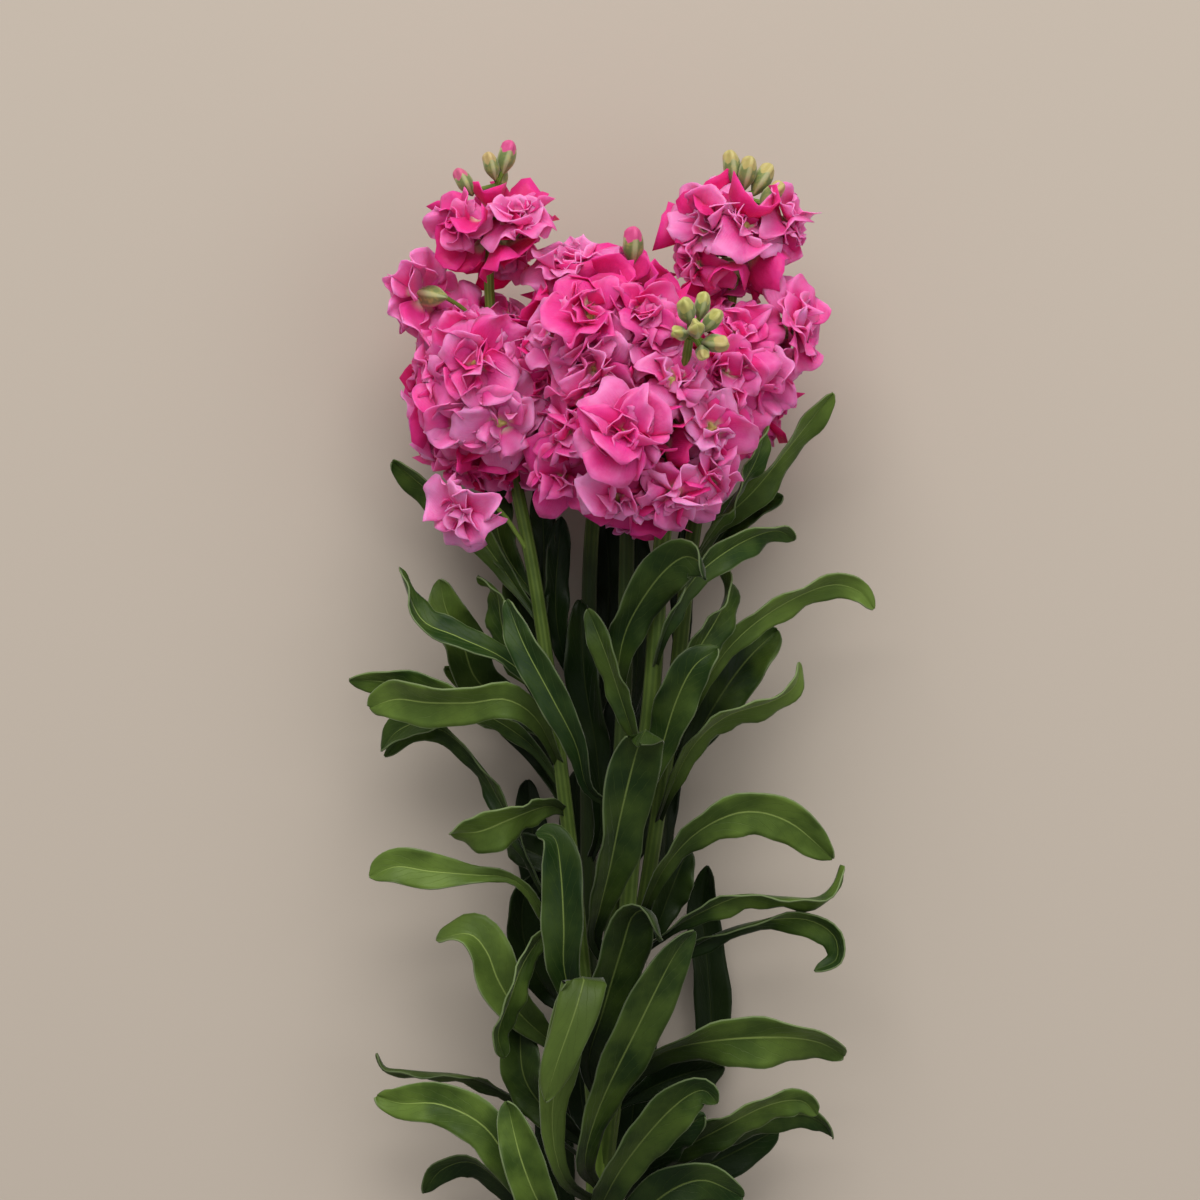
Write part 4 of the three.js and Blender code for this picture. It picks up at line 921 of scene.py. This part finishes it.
def acrossOf(direction):
    # two directions at right angles to one and to each other
    reference = np.array([0, 1, 0]) if abs(direction[2]) > 0.8 else np.array([0, 0, 1])
    first = unit(np.cross(direction, reference))
    return first, np.cross(direction, first)


def newPetal(origin, outward, facing, tilt, twist, **sizes):
    forward = outward * math.sin(tilt) + facing * math.cos(tilt)
    up = facing * math.sin(tilt) - outward * math.cos(tilt)
    side = np.cross(forward, up)
    turned = side * math.cos(twist) + up * math.sin(twist)
    return {"origin": origin, "forward": forward, "side": turned, "up": np.cross(turned, forward), **sizes}


petalMoods = {
    "leftRoll": (-0.22, 0.16), "rightRoll": (-0.22, 0.16), "wring": (-0.3, 0.3), "skew": (-0.18, 0.18),
    "phase": (0, 20),
}


def petalMood(draw):
    # how a petal's margins roll, how it wrings round its length and leans to one side
    return {label: draw.uniform(low, high) for label, (low, high) in petalMoods.items()}


def floretPetals(centre, facing, width, tone, draw):
    def vary(label):
        return draw.uniform(*petalRange[label])

    petals = []
    first, second = acrossOf(facing)
    halfWidth = width / 2
    ownTone = tone + draw.uniform(-toneRange, toneRange)
    for layer in floretLayers:
        count = layer["count"] - (1 if width < wideFloret and layer["length"] > smallPetal else 0)
        spin = draw.uniform(0, 2 * math.pi)
        for index in range(count):
            angle = spin + (index + vary("angle")) / count * 2 * math.pi
            outward = first * math.cos(angle) + second * math.sin(angle)
            length = halfWidth * layer["length"] * vary("length") * (1 + floretClaw)
            foot = first * draw.uniform(-1, 1) + second * draw.uniform(-1, 1)
            petals.append(newPetal(
                centre - facing * halfWidth * floretClaw + foot * halfWidth * layer["off"], outward, facing,
                layer["tilt"] + vary("tilt") * layer["spread"], vary("twist"), length=length,
                half=length * layer["width"] * 0.5 * vary("width"), ruffle=layer["ruffle"] * vary("ruffle"),
                cup=layer["cup"] + vary("cup"), curl=layer["curl"] + vary("curl"), **petalMood(draw),
                blaze=layer["blaze"] * vary("blaze"), tone=ownTone + vary("tone"),
                small=float(layer["length"] < smallPetal)))
    return petals


def floretPlace(raceme, x, y, level, facing=None):
    centre, half = np.array(raceme["centre"], float), np.array(raceme["half"], float)
    off = (np.array([x, y]) - centre[:2]) / half[:2]
    onFace = abs(level) == 1
    height = level * math.sqrt(max(1 - off @ off, 0.05)) if onFace else level
    flat = off if onFace else unit(off) * math.sqrt(1 - height ** 2)
    place = centre + np.array([flat[0], flat[1], height]) * half
    place[2] = max(place[2], floretLowest)
    outward = np.array([flat[0], flat[1], height]) / half if facing is None else facing
    return place, unit(outward)


def packedPetals(raceme, count, draw):
    # small folded petals deep in the head, between the florets
    def vary(label):
        return draw.uniform(*innerPetals[label])

    centre, half = np.array(raceme["centre"], float), np.array(raceme["half"], float)
    petals = []
    for index in range(count):
        level = 1 - 2 * (index + 0.5) / count
        angle = index * math.pi * (3 - math.sqrt(5))
        reach = math.sqrt(1 - level ** 2)
        outward = np.array([math.cos(angle) * reach, math.sin(angle) * reach, level])
        facing = unit(outward / half)
        first, second = acrossOf(facing)
        spin = draw.uniform(0, 2 * math.pi)
        length = innerPetals["size"] * vary("sizes")
        petals.append(newPetal(
            centre + outward * half * vary("depth"),
            first * math.cos(spin) + second * math.sin(spin),
            facing, vary("tilt"), vary("twist"), length=length, half=length * vary("width"),
            ruffle=innerPetals["ruffle"], cup=vary("cup"), curl=vary("curl"), **petalMood(draw),
            blaze=innerPetals["blaze"], tone=innerPetals["tone"] + vary("tones"), small=1.0))
    return petals


petalRule = petalTree()


def flowerPiece(name, petals, node):
    base = markedPoints(name, petals, ("length", "half"))
    piece = grow(base, petalRule, {}, petalMaterials, petalWall)
    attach(piece, "root")
    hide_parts(node)


holders = []  # each floret's middle, facing, size and stem, for its calyx and pedicel
for number, (name, raceme) in enumerate(racemes.items()):
    draw = np.random.default_rng(raceme.get("seed", 100 + number))
    petals = []
    for row in florets[name]:
        place, facing = floretPlace(raceme, row[0], row[1], row[3], *row[4:])
        petals += floretPetals(place, facing, row[2], raceme["tone"], draw)
        holders.append((place, facing, row[2], racemeStems.get(name, name), None))
    big = raceme["half"][0] > innerPetals["bigRaceme"]
    petals += packedPetals(raceme, innerPetals["perRaceme" if big else "smallRaceme"], draw)
    flowerPiece("florets_" + name, petals, "raceme_" + name)
for number, (name, bloom) in enumerate(outlyingBlooms.items()):
    draw = np.random.default_rng(200 + number)
    place, facing = np.array(bloom["at"], float), unit(bloom["facing"])
    flowerPiece(name + "_petals", floretPetals(place, facing, bloom["wide"], outlyingTone, draw), name)
    holders.append((place, facing, bloom["wide"], bloom["stem"], bloom["from"]))
print("florets opened")

# Calyces and buds: a rounded body on each marked point, drawn out into four ribbed sepals

buds = [
    ("left", (-31, 347, 60), (0.25, 1, 0.2), 1.0, 1.0), ("left", (-36, 344, 61), (-0.3, 1, 0.3), 0.85, 0.2),
    ("left", (-33, 341, 55), (0, 1, -0.5), 0.8, 0.1), ("left", (-45, 339, 58), (-0.6, 1, 0.1), 0.9, 0.9),
    ("right", (44, 344, 57), (-0.15, 1, 0.2), 1.0, 0.1), ("right", (49, 342, 58), (0.2, 1, 0.3), 1.0, 0.1),
    ("right", (54, 340, 55), (0.6, 1, 0), 1.05, 0.1), ("right", (57, 335, 57), (0.9, 0.8, 0.3), 0.95, 0.1),
    ("right", (47, 340, 51), (0.1, 1, -0.6), 0.8, 0.1), ("centre", (11, 317, 66), (0, 1, 0.35), 1.15, 1.0),
    ("front", (28, 293, 103), (-0.25, 0.8, 0.9), 1.0, 0.0),
    ("front", (31, 287, 106), (0, 0.3, 1), 0.95, 0.0), ("front", (36, 290, 102), (0.6, 0.7, 0.7), 0.9, 0.0),
    ("front", (37, 283, 101), (0.8, -0.1, 0.8), 1.0, 0.15),
    ("front", (26, 286, 103), (-0.6, 0.1, 1), 0.8, 0.0),
    ("front", (33, 295, 99), (0.2, 1, 0.4), 0.85, 0.0),
    ("front", (33, 280, 102), (0.1, -0.5, 0.9), 0.75, 0.1),
]
budShape = {"Segments": 20, "Rings": 13, "Sepals": 4.0, "Rib": 0.12, "Lip": 0.2, "Crumple": 0.3}
budSize = {"length": 12.0, "girth": 2.8}
calyxSize = {
    "length": 10.0, "girth": 2.7, "seat": 2.2, "lowest": 4.0,
    "outlying": 1.25,  # times the size of the others
    "whole": 1.25,  # times the length from its foot to its mouth, as it clasps the petals
}
pedicelSize = {
    "radius": 0.75, "drop": 9.0, "rows": 14, "arch": 1.5,
    "budRadius": 0.9, "budRows": 8, "budArch": 0.8,
}


def budTree():
    tree, points, size = newTree("bud_rule", budShape)
    ball = addNode(tree, "GeometryNodeMeshUVSphere",
                   {"Segments": size["Segments"], "Rings": size["Rings"], "Radius": 1.0})
    seed = keep(tree, ball.outputs["Mesh"], "share", pointPlace(tree), "FLOAT_VECTOR")
    spread = addNode(tree, "GeometryNodeInstanceOnPoints", {"Points": points, "Instance": seed})
    real = addNode(tree, "GeometryNodeRealizeInstances", {"Geometry": spread.outputs[0]}).outputs[0]
    share = marked(tree, "share", "FLOAT_VECTOR")
    across, deep = share.part("X"), share.part("Y")
    rise = share.part("Z") * 0.5 + 0.5
    angle = deep.math("ARCTAN2", across)
    rib = (angle * size["Sepals"] + rise * 1.5).math("COSINE")
    swell = rise.between(0.0, 0.45, 0.6, 1.0) * rise.between(1.0, 0.6, 0.85, 1.0)
    swell = swell - rise.between(0.66, 0.74) * size["Lip"]
    crumple = (angle * 3.0 + rise * 5.0).wave() * rise.between(0.66, 0.8) * size["Crumple"]
    blunt = rise.between(0.6, 1.0, 1.0, 1.7)
    girth = marked(tree, "girth") * swell * blunt * (rib * size["Rib"] + crumple + 1.0)
    position = stepped(tree, across * girth, rise * marked(tree, "length"), deep * girth)
    real = keep(tree, real, "rise", rise)
    real = keep(tree, real, "rib", rib)
    finishTree(tree, real, aboveFloor(tree, position), budSkin)
    return tree


def budPoint(foot, facing, length, girth, blush):
    side, up = acrossOf(facing)
    return {
        "origin": foot, "side": side, "up": -up, "forward": facing,
        "length": length, "girth": girth, "blush": blush,
    }


budRule = budTree()


def budPiece(name, points):
    piece = grow(markedPoints(name, points, ("length", "girth")), budRule, {}, [budSkin])
    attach(piece, "root")


# painted shade fades out at a stem's upper end, which is as bright as its pedicels
fade = 1 - smoothStep(0.7, 0.85, np.linspace(0, 1, stemPoints))
stalks = [(curve, stemLook["shade"][stem] * fade) for stem, curve in stemCurves.items()]
budPoints = []
for branch, middle, lean, size, blush in buds:
    facing = unit(lean)
    foot = np.array(middle, float) - facing * budSize["length"] * size / 2
    budPoints.append(budPoint(foot, facing, budSize["length"] * size, budSize["girth"] * size, blush))
    start = stemCurves[branch][-1, :3]
    bend = (start + foot) / 2 + (0, pedicelSize["budArch"], 0)
    path = curveThrough([start, bend, foot + facing * 1.5], pedicelSize["budRows"])
    radii = np.full(pedicelSize["budRows"], pedicelSize["budRadius"])
    stalks.append((np.column_stack([path, radii]), 0.0))
budPiece("flower_buds", budPoints)
calyxPoints = []
for centre, facing, width, branch, fromHeight in holders:
    share = 1.0 if fromHeight is None else calyxSize["outlying"]
    mouth = centre - facing * calyxSize["seat"]
    foot = mouth - facing * calyxSize["length"] * share
    foot[2] = max(foot[2], calyxSize["lowest"])
    lean = unit(mouth - foot)
    length = calyxSize["length"] * share * calyxSize["whole"]
    calyxPoints.append(budPoint(foot, lean, length, calyxSize["girth"] * share, 0.0))
    root = stemAt(branch, foot[1] - pedicelSize["drop"] if fromHeight is None else fromHeight)
    bend = root + (foot - root) * 0.6 + (0, pedicelSize["arch"], 0)
    path = curveThrough([root, bend, foot + lean * 1.0], pedicelSize["rows"])
    radii = np.full(pedicelSize["rows"], pedicelSize["radius"])
    # pedicels of the florets get painted shade, those of outlying blooms none
    shade = stemLook["shade"]["pedicels"] if fromHeight is None else 0.0
    stalks.append((np.column_stack([path, radii]), shade))
budPiece("calyces", calyxPoints)
stems = grow(linesMesh("stems", stalks), stemTree(), {}, [stemSkin])
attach(stems, "root")
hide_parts("branched_stem")
print("stems, calyces and buds grown")


# Cut end: a pale ringed face that closes the main stem

cutLook = {
    "pith": colour(0.55, 0.60, 0.36), "ring": colour(0.28, 0.36, 0.14),
    "sides": 24, "blotches": 900.0, "pores": 2500.0,
}
# rings of the face from its middle to its rim and back into the stem: share of the radius, and depth
cutRings = [
    (0.0, -0.35), (0.35, -0.32), (0.65, -0.28), (0.85, -0.22), (0.97, -0.05), (0.97, 0.6), (0.6, 1.2),
]


def cutEnd():
    material, tree, shader = newMaterial("cut_face", {"Roughness": 0.6})
    away = shaderMark(tree, "away")
    share = (away + grain(tree, cutLook["blotches"]) * 0.2).between(0.5, 0.85)
    flesh = mixColours(tree, share, cutLook["pith"], cutLook["ring"])
    connect(tree, flesh, shader.inputs["Base Color"])
    emboss(tree, shader, grain(tree, cutLook["pores"]), 0.5, 0.2)
    line = stemCurves["main"]
    inward = unit(line[1, :3] - line[0, :3])
    side, up = acrossOf(inward)
    points, away, faces = [], [], []
    count = cutLook["sides"]
    for share, depth in cutRings:
        for step in range(count):
            angle = step / count * 2 * math.pi
            rim = side * math.cos(angle) + up * math.sin(angle)
            point = line[0, :3] + rim * line[0, 3] * max(share, 0.02) + inward * depth
            points.append((point[0], point[1], max(point[2], 0.1)))
            away.append(share)
    for ring in range(len(cutRings) - 1):
        for step in range(count):
            after = (step + 1) % count
            row, nextRow = ring * count, (ring + 1) * count
            faces.append((row + step, row + after, nextRow + after, nextRow + step))
    faces.append(tuple(range(count - 1, -1, -1)))
    faces.append(tuple(len(points) - count + step for step in range(count)))
    mesh = bpy.data.meshes.new("cut_end")
    mesh.from_pydata([tuple(point) for point in placed(points)], [], faces)
    mesh.attributes.new("away", "FLOAT", "POINT").data.foreach_set("value", away)
    mesh.materials.append(material)
    piece = newObject("cut_end", mesh)
    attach(piece, "root")


cutEnd()
print("cut end closed")


# Room: a plain pale floor, soft light and the camera straight above

room = {
    "floor": colour(0.50, 0.44, 0.38), "floorHalf": 3.0,
    "sky": colour(1.0, 0.98, 0.95), "skyStrength": 0.36,
    "key": {
        "at": (-0.15, 2.0, 1.8), "aim": (0, 0.1, 0.02), "size": 2.2, "power": 73.0,
        "tint": (1.0, 0.98, 0.95)},
    "fill": {
        "at": (1.3, 0.2, 1.7), "aim": (0, 0.05, 0.02), "size": 1.6, "power": 7.0,
        "tint": (1.0, 0.99, 0.97)},
}
view = {"aim": (0, 200, 55), "distance": 1.5, "field": 0.4, "sensor": 36.0, "far": 20.0}


def buildFloor():
    half = room["floorHalf"]
    mesh = bpy.data.meshes.new("floor")
    corners = [(-half, -half, 0), (half, -half, 0), (half, half, 0), (-half, half, 0)]
    mesh.from_pydata(corners, [], [(0, 1, 2, 3)])
    material, tree, shader = newMaterial("floor_card", {"Roughness": 0.9, "Specular IOR Level": 0.1})
    shader.inputs["Base Color"].default_value = room["floor"]
    mesh.materials.append(material)
    floor = newObject("floor", mesh)


def aimed(thing, at, aim):
    thing.location = at
    thing.rotation_euler = (Vector(aim) - Vector(at)).to_track_quat("-Z", "Y").to_euler()


def buildLights():
    world = bpy.data.worlds.new("soft_room")
    world.use_nodes = True
    world.node_tree.nodes["Background"].inputs["Color"].default_value = room["sky"]
    world.node_tree.nodes["Background"].inputs["Strength"].default_value = room["skyStrength"]
    bpy.context.scene.world = world
    for name in ("key", "fill"):
        setting = room[name]
        lamp = bpy.data.lights.new(name, "AREA")
        lamp.size = setting["size"]
        lamp.energy = setting["power"]
        lamp.color = setting["tint"]
        aimed(newObject(name, lamp), setting["at"], setting["aim"])


def buildCamera():
    lens = bpy.data.cameras.new("camera")
    lens.sensor_width = view["sensor"]
    lens.lens = lens.sensor_width * view["distance"] / view["field"]
    lens.clip_end = view["far"]
    camera = newObject("camera", lens)
    camera.location = Vector(placed(view["aim"])) + Vector((0, 0, view["distance"]))
    bpy.context.scene.camera = camera


buildFloor()
buildLights()
buildCamera()
bpy.context.scene.view_settings.view_transform = "Standard"
print("room lit")
